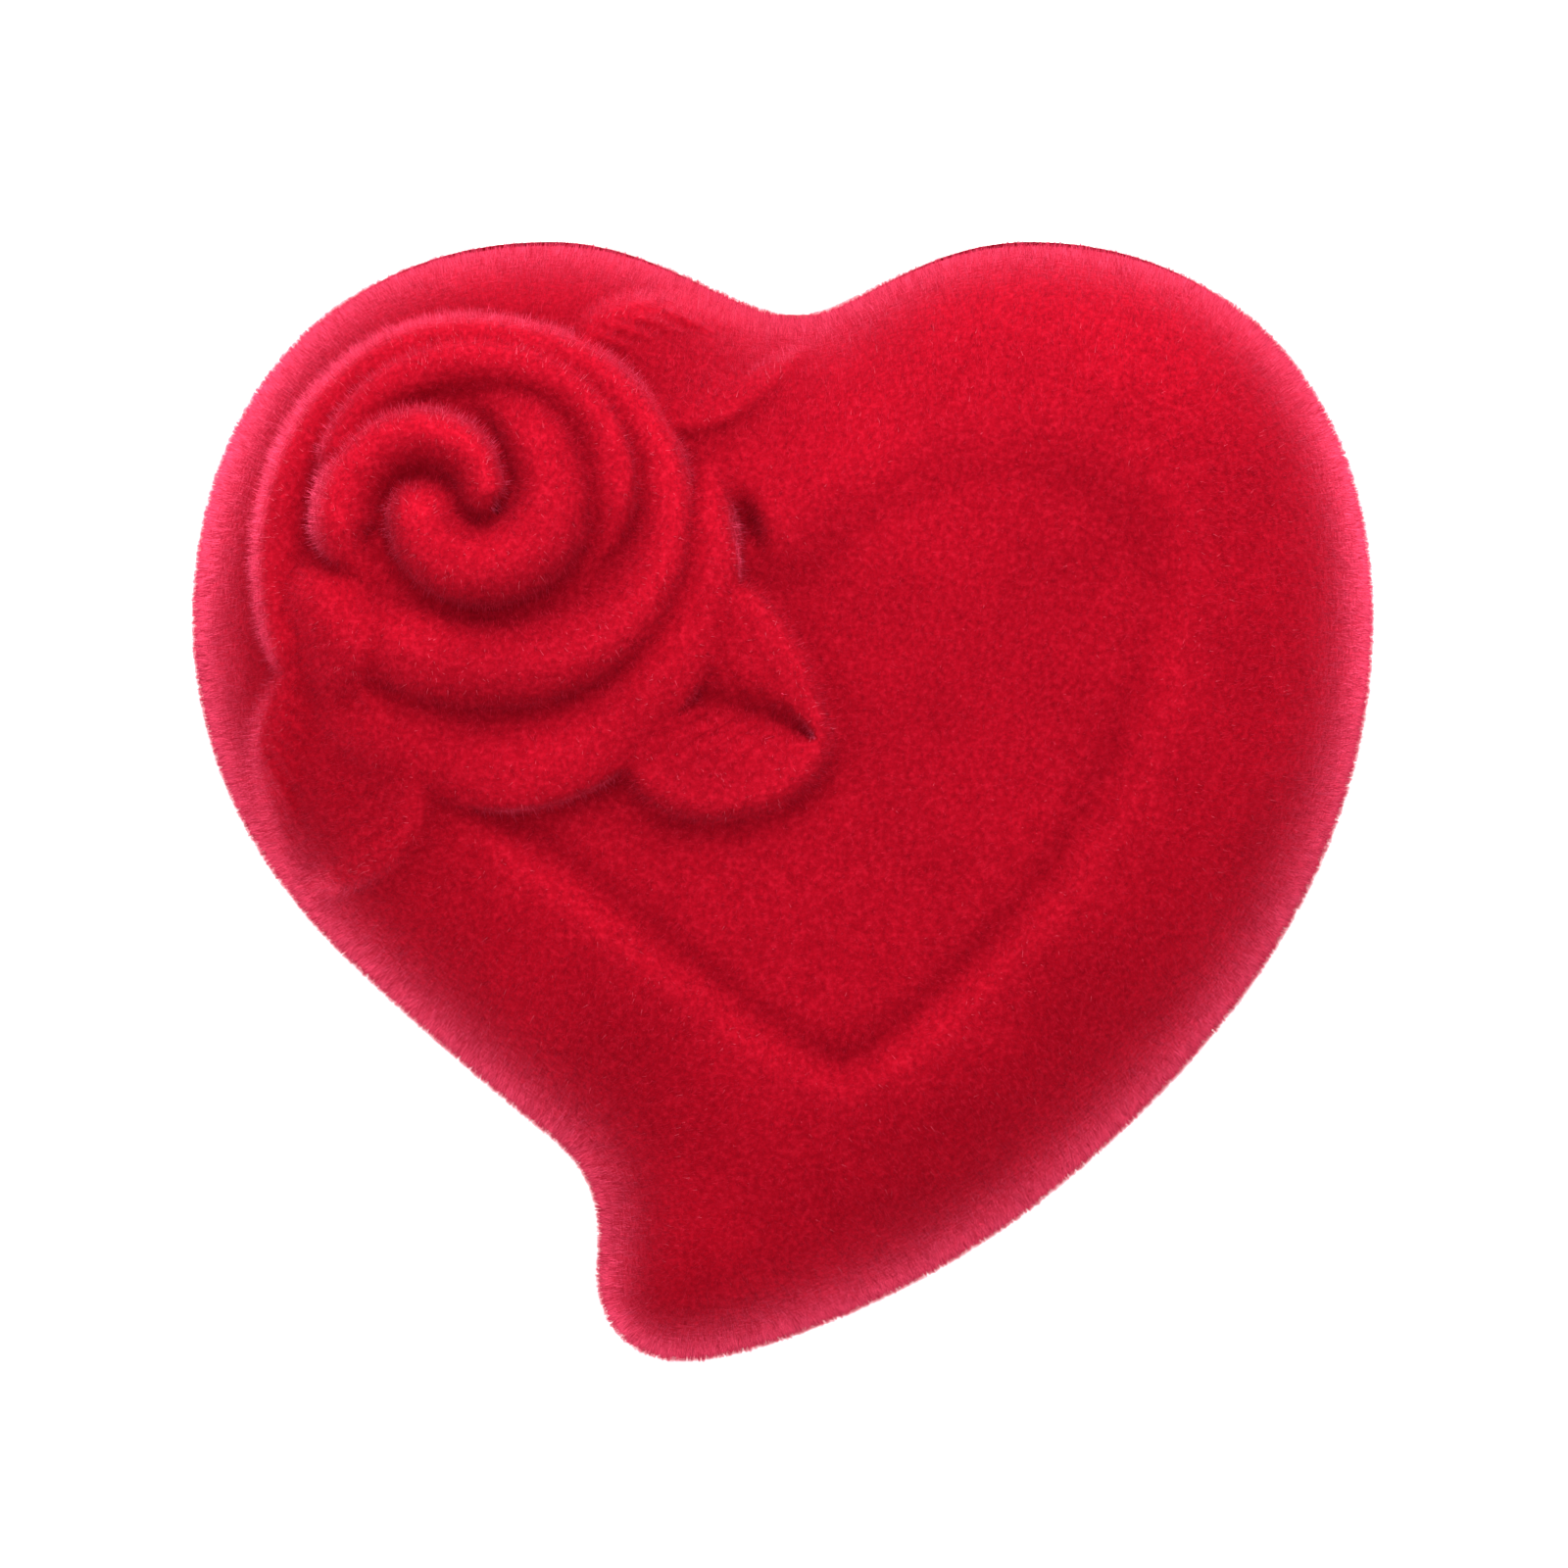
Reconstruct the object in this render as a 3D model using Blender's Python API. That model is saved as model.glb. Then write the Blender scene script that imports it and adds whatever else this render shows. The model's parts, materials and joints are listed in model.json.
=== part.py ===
"""Heart-shaped flocked trinket box with a rose on its hinged lid.

+Z is up, +Y points to the hinge in the heart's notch, and the tail of the heart points to -Y.
The origin is under the middle of the box. Lengths below are in millimetres, and add_part turns
them into metres.
"""

import math

import bmesh
import bpy
import numpy as np
from mathutils import Matrix, Vector

MM = 0.001

# Heart outline at the seam, clockwise from the notch. Each knot is x, y, the heading in degrees,
# and the length of the handle before it and after it.
HEART = (
    (0.9, 24.6, 4, 3.1, 2.7),
    (12.6, 28.5, 0, 5.6, 10.4),
    (30.0, 9.9, -89, 10.9, 12.6),
    (13.4, -20.1, -141, 12.2, 7.8),
    (-5.5, -28.5, 176, 3.5, 2.3),
    (-9.3, -23.9, 87, 2.7, 2.4),
    (-12.1, -16.8, 142, 4.0, 2.8),
    (-23.7, -6.4, 132, 3.5, 5.1),
    (-30.0, 9.4, 90, 6.8, 10.0),
    (-11.9, 28.5, 0, 11.8, 5.8),
)
HEART_CENTRE = (0.0, 5.8)
FINE = 1008  # points round the heart that distances are measured to
SPOKES = 84  # points round the heart in each piece

# Shells
WALL = 1.2
TOP_WALL = 1.4
SEAM_GAP = 0.3
HINGE = (0.8, 23.75, 18.15)
BASE_RUN = 5.5  # how far in the base's side curves before its flat bottom
BASE_POWER = 2.3
LID_RISE = 18.4
LID_RUN = 13.0
LID_POWER = 2.3
OPENING_ANGLE = 80.0  # degrees, where the cut-back rims of lid and base would meet
TROUGH_RADIUS = 1.4  # room for the hinge barrel in the notch
TROUGH_HALF_LENGTH = 8.0
EDGE_SHARES = (1, 0.99, 0.97, 0.94, 0.89, 0.82, 0.72, 0.58, 0.4, 0.2)
NEAR_EDGE = 0.975  # outside this share of a spoke, depth falls evenly to zero

# Collar that locates the lid
COLLAR_OUTER = 1.5
COLLAR_THICKNESS = 1.0
COLLAR_BOTTOM = 13.5
COLLAR_STAND = 1.65
WINDOW_FRONT = 5.0  # the collar's window for the hinge, measured from the hinge's axis
WINDOW_BACK = 3.2
CUT_MARGIN = 1.0  # how far the window's cutter reaches past the collar

# Ring pads: two wrapped foam blocks with a slit between them
BOARD_BOTTOM = 5.0
BOARD_THICKNESS = 0.6
BOARD_INSET = 3.8
PAD_INSET = 2.9
PAD_BOTTOM = 6.0
PAD_TOP = 14.2
COVER_THICKNESS = 0.4
FOAM_GAP = 0.2
SLIT_Y = 7.0
SLIT_WIDTH = 0.8
CORNER_EDGE = 1.2  # no point of a pad's outline is nearer than this to the slit's ends

# Lid liner: card, foam and satin, each following the dome
LINER_SHARES = (0.86, 0.75, 0.56, 0.3)
LINER_GAP = 0.45
LINER_CARD = 0.5
LINER_FOAM = 2.0
LINER_SATIN = 0.4
LAYER_GAP = 0.3

# Hinge: two stamped leaves with rolled knuckles, a pin and a bowed snap spring
BARREL_RADIUS = 1.1
SHEET = 0.4
PIN_RADIUS = 0.45
PIN_OVERHANG = 0.3
HINGE_HALF_WIDTH = 6.0
KNUCKLE_HALF_WIDTH = 2.4
KNUCKLE_GAP = 0.3
KNUCKLE_LAP = 0.6  # how far a knuckle's own plate runs over the wide one
ROLL_ANGLE = 280
ROLL_STEPS = 14
PIN_SIDES = 16
BASE_LEAF_DROP = 3.6
LID_LEAF_RISE = 3.4
SPRING_HALF_WIDTH = 2.2
SPRING_THICKNESS = 0.25
SPRING_REACH = 3.6
SPRING_BOW = 0.9
SPRING_INSET = 1.75  # from the hinge's axis in to the spring's ends
SPRING_STEPS = 13

# Relief on the lid: ridge lines of the rose's petals, as x, y
PETAL_RADIUS = 1.1
WELD = 0.001
ROSE_RISE = 0.4
OUTER_PETAL = (
    (-25.0, 7.2), (-26.3, 12.1), (-24.0, 19.9), (-19.0, 23.9), (-13.0, 24.2), (-8.3, 21.6),
    (-5.5, 15.1), (-7.2, 10.0), (-12.8, 7.0), (-18.0, 7.8), (-21.6, 10.1),
)
FIRST_ARM = ((-15.4, 16.6), (-17.6, 18.5), (-20.4, 18.1), (-22.4, 15.6), (-21.7, 12.6))
SECOND_ARM = (
    (-18.2, 14.6), (-16.6, 12.8), (-13.5, 13.3), (-12.2, 16.0), (-13.6, 19.0), (-16.5, 20.6),
)
LOWER_PETAL = ((-19.6, 4.0), (-14.3, 1.9), (-9.2, 3.9), (-5.2, 8.4), (-3.7, 13.0), (-3.9, 17.5))
# Leaves, as x, y, length, width and heading in degrees
LEAVES = (
    (-5.6, 22.6, 9.0, 4.6, 165),
    (-2.3, 5.0, 9.5, 5.4, 115),
    (-23.4, 1.0, 9.0, 5.4, 70),
)
LEAF_RISE = 0.9
SLOPE_STEP = 0.5  # distance over which the lid's slope under a leaf is taken

SHARP_ANGLE = 40.0  # degrees, where smooth shading breaks


def bezier_loop(knots, per_span=120):
    """Points along the closed outline, counterclockwise."""
    points = []
    share = np.linspace(0, 1, per_span, endpoint=False)[:, None]
    for start, end in zip(knots, knots[1:] + knots[:1]):
        here, there = np.array(start[:2]), np.array(end[:2])
        leave = here + start[4] * heading(start[2])
        arrive = there - end[3] * heading(end[2])
        points.append(
            (1 - share) ** 3 * here
            + 3 * (1 - share) ** 2 * share * leave
            + 3 * (1 - share) * share**2 * arrive
            + share**3 * there
        )
    return np.concatenate(points)[::-1]


def heading(degrees):
    return np.array([math.cos(math.radians(degrees)), math.sin(math.radians(degrees))])


def even(loop, count):
    """The same closed loop with its points evenly spaced."""
    closed = np.vstack([loop, loop[:1]])
    length = np.concatenate([[0], np.cumsum(np.linalg.norm(np.diff(closed, axis=0), axis=1))])
    wanted = np.linspace(0, length[-1], count, endpoint=False)
    return np.stack([np.interp(wanted, length, closed[:, axis]) for axis in (0, 1)], axis=1)


def inset(loop, distance):
    """A counterclockwise loop moved in by this distance, with its corners mitred."""
    before = loop - np.roll(loop, 1, axis=0)
    after = np.roll(loop, -1, axis=0) - loop
    before /= np.linalg.norm(before, axis=1)[:, None]
    after /= np.linalg.norm(after, axis=1)[:, None]
    inward = np.stack([-(before + after)[:, 1], (before + after)[:, 0]], axis=1)
    inward /= np.linalg.norm(inward, axis=1)[:, None]
    facing = inward[:, 1] * after[:, 0] - inward[:, 0] * after[:, 1]
    return loop + distance * inward / facing[:, None]


def depth(points, loop):
    """How far in from the loop each point is, rounded off where two sides meet."""
    step = np.linalg.norm(np.roll(loop, -1, axis=0) - loop, axis=1)
    gap = np.linalg.norm(points[:, None] - loop[None], axis=2)
    return (0.5 * (step / gap**3).sum(axis=1)) ** -0.5


def rounded(share, power):
    """The height of a superellipse's quarter: 0 at its edge, 1 once its run is over."""
    return (1 - (1 - np.clip(share, 0, 1)) ** power) ** (1 / power)


def lid_height(depths, thickness=0.0):
    top = LID_RISE - thickness
    return HINGE[2] + SEAM_GAP / 2 + top * rounded(depths / LID_RUN, LID_POWER)


def base_height(depths, thickness=0.0):
    rim = HINGE[2] - SEAM_GAP / 2
    return rim - (rim - thickness) * rounded(depths / BASE_RUN, BASE_POWER)


def seam_lift(points):
    """How far each rim stands from the hinge's axis: a slit, opening out behind the axis."""
    behind = points[:, 1] - HINGE[1]
    slope = math.tan(math.radians(OPENING_ANGLE / 2))
    lift = SEAM_GAP / 2 + slope * np.clip(behind, 0, None)
    in_notch = np.abs(points[:, 0] - HINGE[0]) < TROUGH_HALF_LENGTH
    trough = np.sqrt(np.clip(TROUGH_RADIUS**2 - behind**2, 0, None))
    return np.where(in_notch, np.maximum(lift, trough), lift)


def sheet(loop, shares, height):
    """Rings of points from the edge of the loop inwards, then its centre. height gives z."""
    spokes = loop[:: FINE // SPOKES] - HEART_CENTRE
    rings = []
    for share in shares:
        points = HEART_CENTRE + spokes * share
        near = HEART_CENTRE + spokes * min(share, NEAR_EDGE)
        depths = depth(near, loop)
        if share > NEAR_EDGE:
            depths = depths * (1 - share) / (1 - NEAR_EDGE)
        rings.append(np.column_stack([points, height(points, depths)]))
    middle = np.array([HEART_CENTRE])
    middle = np.column_stack([middle, height(middle, depth(middle, loop))])
    return np.concatenate(rings + [middle])


def closed_skin(upper, lower):
    """Points and faces of the closed body between two sheets of the same layout."""
    rings = len(upper) // SPOKES
    faces = []
    for first, turn in ((0, 1), (len(upper), -1)):
        for j in range(SPOKES):
            k = (j + 1) % SPOKES
            for ring in range(rings - 1):
                row = first + ring * SPOKES
                faces.append((row + j, row + k, row + SPOKES + k, row + SPOKES + j)[::turn])
            row = first + (rings - 1) * SPOKES
            faces.append((row + j, row + k, first + rings * SPOKES)[::turn])
    for j in range(SPOKES):
        k = (j + 1) % SPOKES
        faces.append((len(upper) + j, len(upper) + k, k, j))
    return np.concatenate([upper, lower]), faces


def prism(loop, bottom, top):
    """Points and faces of an upright prism. bottom and top are heights, or one for each point."""
    count = len(loop)
    low = np.column_stack([loop, np.broadcast_to(bottom, count)])
    high = np.column_stack([loop, np.broadcast_to(top, count)])
    sides = [(j, (j + 1) % count, count + (j + 1) % count, count + j) for j in range(count)]
    ends = [tuple(range(count))[::-1], tuple(range(count, 2 * count))]
    return np.concatenate([low, high]), sides + ends


def cap(outer, inner, bottom, ceiling, top):
    """Points and faces of a lid-like cover: a top and sides, open underneath."""
    count = len(outer)
    rows = ((outer, bottom), (outer, top), (inner, ceiling), (inner, bottom))
    points = [np.column_stack([loop, np.full(count, height)]) for loop, height in rows]
    faces = [tuple(range(count, 2 * count)), tuple(range(2 * count, 3 * count))[::-1]]
    for j in range(count):
        k = (j + 1) % count
        for low, high in ((0, 1), (2, 3), (3, 0)):
            faces.append(tuple(n * count + i for n, i in ((low, j), (low, k), (high, k), (high, j))))
    return np.concatenate(points), faces


def extruded(profile, x_low, x_high):
    """Points and faces of a y, z profile, counterclockwise seen from +X, extruded along X."""
    count = len(profile)
    profile = np.array(profile)
    low = np.column_stack([np.full(count, x_low), profile])
    high = np.column_stack([np.full(count, x_high), profile])
    sides = [(j, (j + 1) % count, count + (j + 1) % count, count + j) for j in range(count)]
    ends = [tuple(range(count))[::-1], tuple(range(count, 2 * count))]
    return np.concatenate([low, high]), sides + ends


def material(name, colour, roughness, metallic=0.0):
    made = bpy.data.materials.new(name)
    made.use_nodes = True
    shader = made.node_tree.nodes["Principled BSDF"]
    shader.inputs["Base Color"].default_value = (*colour, 1)
    shader.inputs["Roughness"].default_value = roughness
    shader.inputs["Metallic"].default_value = metallic
    return made


def add_part(name, shape, look, body):
    """A mesh object under its body's empty, with its origin on the empty."""
    points, faces = shape
    origin = np.array(body.location) / MM
    mesh = bpy.data.meshes.new(name)
    mesh.from_pydata(((points - origin) * MM).tolist(), [], faces)
    part = bpy.data.objects.new(name, mesh)
    part.parent = body
    bpy.context.collection.objects.link(part)
    if look:
        mesh.materials.append(look)
        mesh.shade_smooth()
        mesh.set_sharp_from_angle(angle=math.radians(SHARP_ANGLE))
    return part


def helper(part):
    part.hide_render = True
    part.display_type = "WIRE"
    return part


def combine(part, other, operation, solver="EXACT"):
    boolean = part.modifiers.new(other.name, "BOOLEAN")
    boolean.operation = operation
    boolean.solver = solver
    boolean.object = helper(other)


def add_empty(name, location):
    empty = bpy.data.objects.new(name, None)
    empty.location = [value * MM for value in location]
    bpy.context.collection.objects.link(empty)
    return empty


def add_ridge(name, line, loop, body):
    """A tapering round ridge that follows the lid's surface along a line."""
    line = np.array(line)
    heights = lid_height(depth(line, loop)) + ROSE_RISE
    curve = bpy.data.curves.new(name, "CURVE")
    curve.dimensions = "3D"
    curve.bevel_depth = PETAL_RADIUS * MM
    curve.bevel_resolution = 1
    curve.resolution_u = 3
    curve.use_fill_caps = True
    spline = curve.splines.new("BEZIER")
    spline.bezier_points.add(len(line) - 1)
    origin = np.array(body.location) / MM
    for knot, point in zip(spline.bezier_points, np.column_stack([line, heights])):
        knot.co = (point - origin) * MM
        knot.handle_left_type = "AUTO"
        knot.handle_right_type = "AUTO"
    guide = bpy.data.objects.new(name, curve)
    bpy.context.collection.objects.link(guide)
    bpy.context.view_layer.update()
    mesh = bpy.data.meshes.new_from_object(guide.evaluated_get(bpy.context.evaluated_depsgraph_get()))
    bpy.data.objects.remove(guide)
    closed = bmesh.new()
    closed.from_mesh(mesh)
    bmesh.ops.remove_doubles(closed, verts=closed.verts, dist=WELD * MM)
    closed.to_mesh(mesh)
    closed.free()
    ridge = bpy.data.objects.new(name, mesh)
    ridge.parent = body
    bpy.context.collection.objects.link(ridge)
    return ridge


def add_leaf(name, leaf, loop, body):
    """A flat lens lying on the lid."""
    x, y, length, width, degrees = leaf
    mesh = bpy.data.meshes.new(name)
    lens = bmesh.new()
    bmesh.ops.create_icosphere(lens, subdivisions=2, radius=1)
    lens.to_mesh(mesh)
    lens.free()
    made = bpy.data.objects.new(name, mesh)
    made.parent = body
    nearby = np.array([(x, y), (x + SLOPE_STEP, y), (x, y + SLOPE_STEP)])
    here, east, north = lid_height(depth(nearby, loop))
    slopes = np.array([east - here, north - here]) / SLOPE_STEP
    along = Vector((*heading(degrees), heading(degrees) @ slopes)).normalized()
    outward = Vector((-slopes[0], -slopes[1], 1)).normalized()
    turn = Matrix((along, outward.cross(along), outward)).transposed().to_4x4()
    place = Matrix.Translation((Vector((x, y, here)) - Vector(body.location) / MM) * MM)
    scale = Matrix.Diagonal((length / 2 * MM, width / 2 * MM, LEAF_RISE * MM, 1))
    made.matrix_basis = place @ turn @ scale
    bpy.context.collection.objects.link(made)
    return made


def make_lid_shell(loop, look, lid):
    outer = sheet(
        loop,
        EDGE_SHARES,
        lambda points, depths: np.maximum(lid_height(depths), HINGE[2] + seam_lift(points)),
    )
    inner = sheet(
        inset(loop, WALL),
        EDGE_SHARES,
        lambda points, depths: np.maximum(
            lid_height(depths, TOP_WALL), HINGE[2] + seam_lift(points)
        ),
    )
    shell = add_part("lid_shell", closed_skin(outer, inner), look, lid)
    lines = (OUTER_PETAL, FIRST_ARM, SECOND_ARM, LOWER_PETAL)
    for number, line in enumerate(lines):
        combine(shell, add_ridge(f"petal_{number}", line, loop, lid), "UNION", "MANIFOLD")
    for number, leaf in enumerate(LEAVES):
        combine(shell, add_leaf(f"leaf_{number}", leaf, loop, lid), "UNION", "MANIFOLD")


def make_base_shell(loop, look, base):
    outer = sheet(
        loop,
        EDGE_SHARES,
        lambda points, depths: np.minimum(base_height(depths), HINGE[2] - seam_lift(points)),
    )
    inner = sheet(
        inset(loop, WALL),
        EDGE_SHARES,
        lambda points, depths: np.minimum(
            base_height(depths, TOP_WALL), HINGE[2] - seam_lift(points)
        ),
    )
    add_part("base_shell", closed_skin(inner, outer), look, base)


def make_collar(loop, look, base):
    """A band inside the rim, cut back behind the hinge's axis and open where the hinge is."""
    outer = inset(loop, COLLAR_OUTER)[:: FINE // SPOKES]
    inner = inset(loop, COLLAR_OUTER + COLLAR_THICKNESS)[:: FINE // SPOKES]
    slope = math.tan(math.radians(OPENING_ANGLE / 2))
    rings = []
    for points in (outer, inner):
        behind = points[:, 1] - HINGE[1]
        top = HINGE[2] + np.minimum(COLLAR_STAND, -SEAM_GAP - slope * behind)
        rings.append(np.column_stack([points, np.full(SPOKES, COLLAR_BOTTOM)]))
        rings.append(np.column_stack([points, top]))
    outer_low, outer_top, inner_low, inner_top = (n * SPOKES for n in range(4))
    faces = []
    for j in range(SPOKES):
        k = (j + 1) % SPOKES
        faces.append((outer_low + j, outer_low + k, outer_top + k, outer_top + j))
        faces.append((outer_top + j, outer_top + k, inner_top + k, inner_top + j))
        faces.append((inner_top + j, inner_top + k, inner_low + k, inner_low + j))
        faces.append((inner_low + j, inner_low + k, outer_low + k, outer_low + j))
    collar = add_part("base_collar", (np.concatenate(rings), faces), look, base)
    half = HINGE_HALF_WIDTH + SEAM_GAP * 2
    x_low, x_high = HINGE[0] - half, HINGE[0] + half
    y_low, y_high = HINGE[1] - WINDOW_FRONT, HINGE[1] + WINDOW_BACK
    z_low, z_high = COLLAR_BOTTOM - CUT_MARGIN, HINGE[2] + COLLAR_STAND + CUT_MARGIN
    window = np.array([(x_low, y_low), (x_high, y_low), (x_high, y_high), (x_low, y_high)])
    cutter = add_part("hinge_window", prism(window, z_low, z_high), None, base)
    combine(collar, cutter, "DIFFERENCE")


def cut_loop(loop, keep_front, limit):
    """The part of a loop in front of or behind a line across it, with long edges at its corners."""
    side = (limit - loop[:, 1]) * (1 if keep_front else -1)
    kept = []
    for here, there, a, b in zip(loop, np.roll(loop, -1, axis=0), side, np.roll(side, -1)):
        if a > CORNER_EDGE:
            kept.append(here)
        if a * b < 0:
            kept.append(here + (there - here) * a / (a - b))
    return np.array(kept)


def make_ring_pads(loop, foam_look, cover_look, board_look, base):
    board = inset(loop, BOARD_INSET)[:: FINE // SPOKES]
    board_top = BOARD_BOTTOM + BOARD_THICKNESS
    add_part("insert_board", prism(board, BOARD_BOTTOM, board_top), board_look, base)
    edge = inset(loop, PAD_INSET)[:: FINE // SPOKES]
    for side, keep_front in (("front", True), ("rear", False)):
        limit = SLIT_Y + SLIT_WIDTH / 2 * (-1 if keep_front else 1)
        outer = cut_loop(edge, keep_front, limit)
        hollow = inset(outer, COVER_THICKNESS)
        foam = inset(outer, COVER_THICKNESS + FOAM_GAP)
        foam_top = PAD_TOP - COVER_THICKNESS - FOAM_GAP
        add_part(f"ring_pad_{side}", prism(foam, PAD_BOTTOM, foam_top), foam_look, base)
        cover = cap(outer, hollow, PAD_BOTTOM, PAD_TOP - COVER_THICKNESS, PAD_TOP)
        add_part(f"pad_cover_{side}", cover, cover_look, base)


def make_lid_liner(loop, card_look, foam_look, satin_look, lid):
    inner = inset(loop, WALL)
    layers = (
        ("lid_liner_board", LINER_CARD, card_look),
        ("lid_liner_foam", LINER_FOAM, foam_look),
        ("lid_liner_satin", LINER_SATIN, satin_look),
    )
    drop = LINER_GAP
    for name, thickness, look in layers:
        top, bottom = drop, drop + thickness
        upper = sheet(inner, LINER_SHARES, lambda p, d: lid_height(d, TOP_WALL) - top)
        lower = sheet(inner, LINER_SHARES, lambda p, d: lid_height(d, TOP_WALL) - bottom)
        add_part(name, closed_skin(upper, lower), look, lid)
        drop = bottom + LAYER_GAP


def arc(radius, start, end, steps=ROLL_STEPS):
    """y, z points round the hinge's axis, angles in degrees from +Y."""
    angles = np.radians(np.linspace(start, end, steps))
    return [(HINGE[1] + radius * math.cos(a), HINGE[2] + radius * math.sin(a)) for a in angles]


def rolled_knuckle(up, plate_reach, x_low, x_high):
    inner_radius = BARREL_RADIUS - SHEET
    turn = 1 if up else -1
    plate_end = HINGE[2] + turn * plate_reach
    end = 180 + turn * ROLL_ANGLE
    outer = arc(BARREL_RADIUS, 180, end)
    inner = arc(inner_radius, end, 180)
    plate = [(HINGE[1] - inner_radius, plate_end), (HINGE[1] - BARREL_RADIUS, plate_end)]
    profile = outer + inner + plate
    return extruded(profile if up else profile[::-1], x_low, x_high)


def make_hinge(steel, spring_steel, base, lid):
    x_low, x_high = HINGE[0] - HINGE_HALF_WIDTH, HINGE[0] + HINGE_HALF_WIDTH
    middle_low, middle_high = HINGE[0] - KNUCKLE_HALF_WIDTH, HINGE[0] + KNUCKLE_HALF_WIDTH
    plate_y = (HINGE[1] - BARREL_RADIUS, HINGE[1] - BARREL_RADIUS + SHEET)
    clear = BARREL_RADIUS + KNUCKLE_GAP
    knuckle_end = clear + KNUCKLE_LAP
    # Lid leaf: one knuckle in the middle, its plate wide above the barrel
    leaf = add_part(
        "hinge_leaf_lid", rolled_knuckle(True, knuckle_end, middle_low, middle_high), steel, lid
    )
    plate = rectangle(plate_y, HINGE[2] + clear, HINGE[2] + LID_LEAF_RISE)
    wide = add_part("lid_plate", extruded(plate, x_low, x_high), None, lid)
    combine(leaf, wide, "UNION")
    # Base leaf: a knuckle at each end, its plate wide below the barrel
    leaf = add_part(
        "hinge_leaf_base",
        rolled_knuckle(False, knuckle_end, x_low, middle_low - KNUCKLE_GAP),
        steel,
        base,
    )
    other = rolled_knuckle(False, knuckle_end, middle_high + KNUCKLE_GAP, x_high)
    combine(leaf, add_part("second_knuckle", other, None, base), "UNION")
    plate = rectangle(plate_y, HINGE[2] - BASE_LEAF_DROP, HINGE[2] - clear)
    combine(leaf, add_part("base_plate", extruded(plate, x_low, x_high), None, base), "UNION")
    pin = arc(PIN_RADIUS, 0, 360 - 360 / PIN_SIDES, PIN_SIDES)
    reach = PIN_OVERHANG
    add_part("hinge_pin", extruded(pin, x_low - reach, x_high + reach), steel, base)
    make_spring(spring_steel, base)


def rectangle(y_range, z_low, z_high):
    """A y, z rectangle, counterclockwise seen from +X."""
    return [
        (y_range[0], z_low), (y_range[1], z_low), (y_range[1], z_high), (y_range[0], z_high),
    ]


def make_spring(look, base):
    """A strip bowed inwards past the axis, which snaps the lid over its middle position."""
    rise = np.linspace(-SPRING_REACH, SPRING_REACH, SPRING_STEPS)
    bow = SPRING_BOW * (1 + np.cos(math.pi * rise / SPRING_REACH)) / 2
    back = np.column_stack([HINGE[1] - SPRING_INSET - bow, HINGE[2] + rise])
    front = back - (SPRING_THICKNESS, 0)
    profile = np.concatenate([front, back[::-1]])[::-1]
    x_low, x_high = HINGE[0] - SPRING_HALF_WIDTH, HINGE[0] + SPRING_HALF_WIDTH
    add_part("snap_spring", extruded(profile, x_low, x_high), look, base)


def main():
    for old in list(bpy.data.objects):
        bpy.data.objects.remove(old)
    flock = material("red_flock", (0.5, 0.01, 0.03), 0.95)
    plastic = material("cream_plastic", (0.8, 0.76, 0.68), 0.5)
    velvet = material("cream_velvet", (0.82, 0.78, 0.7), 0.9)
    satin = material("cream_satin", (0.86, 0.82, 0.74), 0.35)
    foam = material("white_foam", (0.85, 0.85, 0.82), 0.9)
    card = material("grey_card", (0.5, 0.48, 0.45), 0.9)
    steel = material("stamped_steel", (0.6, 0.6, 0.6), 0.35, 1.0)
    spring_steel = material("spring_steel", (0.45, 0.45, 0.47), 0.3, 1.0)
    base = add_empty("base_frame", (0, 0, 0))
    lid = add_empty("lid_hinge_axis", HINGE)
    bpy.context.view_layer.update()
    loop = even(bezier_loop(HEART), FINE)
    make_base_shell(loop, flock, base)
    make_collar(loop, plastic, base)
    make_ring_pads(loop, foam, velvet, card, base)
    make_hinge(steel, spring_steel, base, lid)
    make_lid_shell(loop, flock, lid)
    make_lid_liner(loop, card, foam, satin, lid)


main()
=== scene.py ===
import math

import bpy
import numpy as np
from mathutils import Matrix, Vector
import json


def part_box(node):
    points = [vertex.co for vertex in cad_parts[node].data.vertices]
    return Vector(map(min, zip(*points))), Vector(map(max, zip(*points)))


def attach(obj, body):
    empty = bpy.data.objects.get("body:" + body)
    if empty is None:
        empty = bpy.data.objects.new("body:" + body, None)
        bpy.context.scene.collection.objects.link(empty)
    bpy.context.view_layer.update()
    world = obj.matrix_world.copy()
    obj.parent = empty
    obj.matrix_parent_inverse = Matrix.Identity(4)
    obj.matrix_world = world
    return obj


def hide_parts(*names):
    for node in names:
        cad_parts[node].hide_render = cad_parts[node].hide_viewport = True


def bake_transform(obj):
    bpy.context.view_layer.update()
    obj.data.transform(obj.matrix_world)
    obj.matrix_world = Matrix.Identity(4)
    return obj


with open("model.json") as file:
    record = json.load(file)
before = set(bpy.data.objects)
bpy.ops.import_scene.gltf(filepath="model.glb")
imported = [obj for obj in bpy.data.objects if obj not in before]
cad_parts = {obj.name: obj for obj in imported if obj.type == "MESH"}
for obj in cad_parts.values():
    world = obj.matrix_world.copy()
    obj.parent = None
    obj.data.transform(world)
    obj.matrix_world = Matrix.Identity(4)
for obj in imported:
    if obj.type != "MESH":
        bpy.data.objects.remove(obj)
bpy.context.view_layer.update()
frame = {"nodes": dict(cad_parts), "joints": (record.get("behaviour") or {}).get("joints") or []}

# Lengths in this script are in millimetres, and the mesh helpers turn them into metres.
MM = 0.001
RNG = np.random.default_rng(7)

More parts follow.
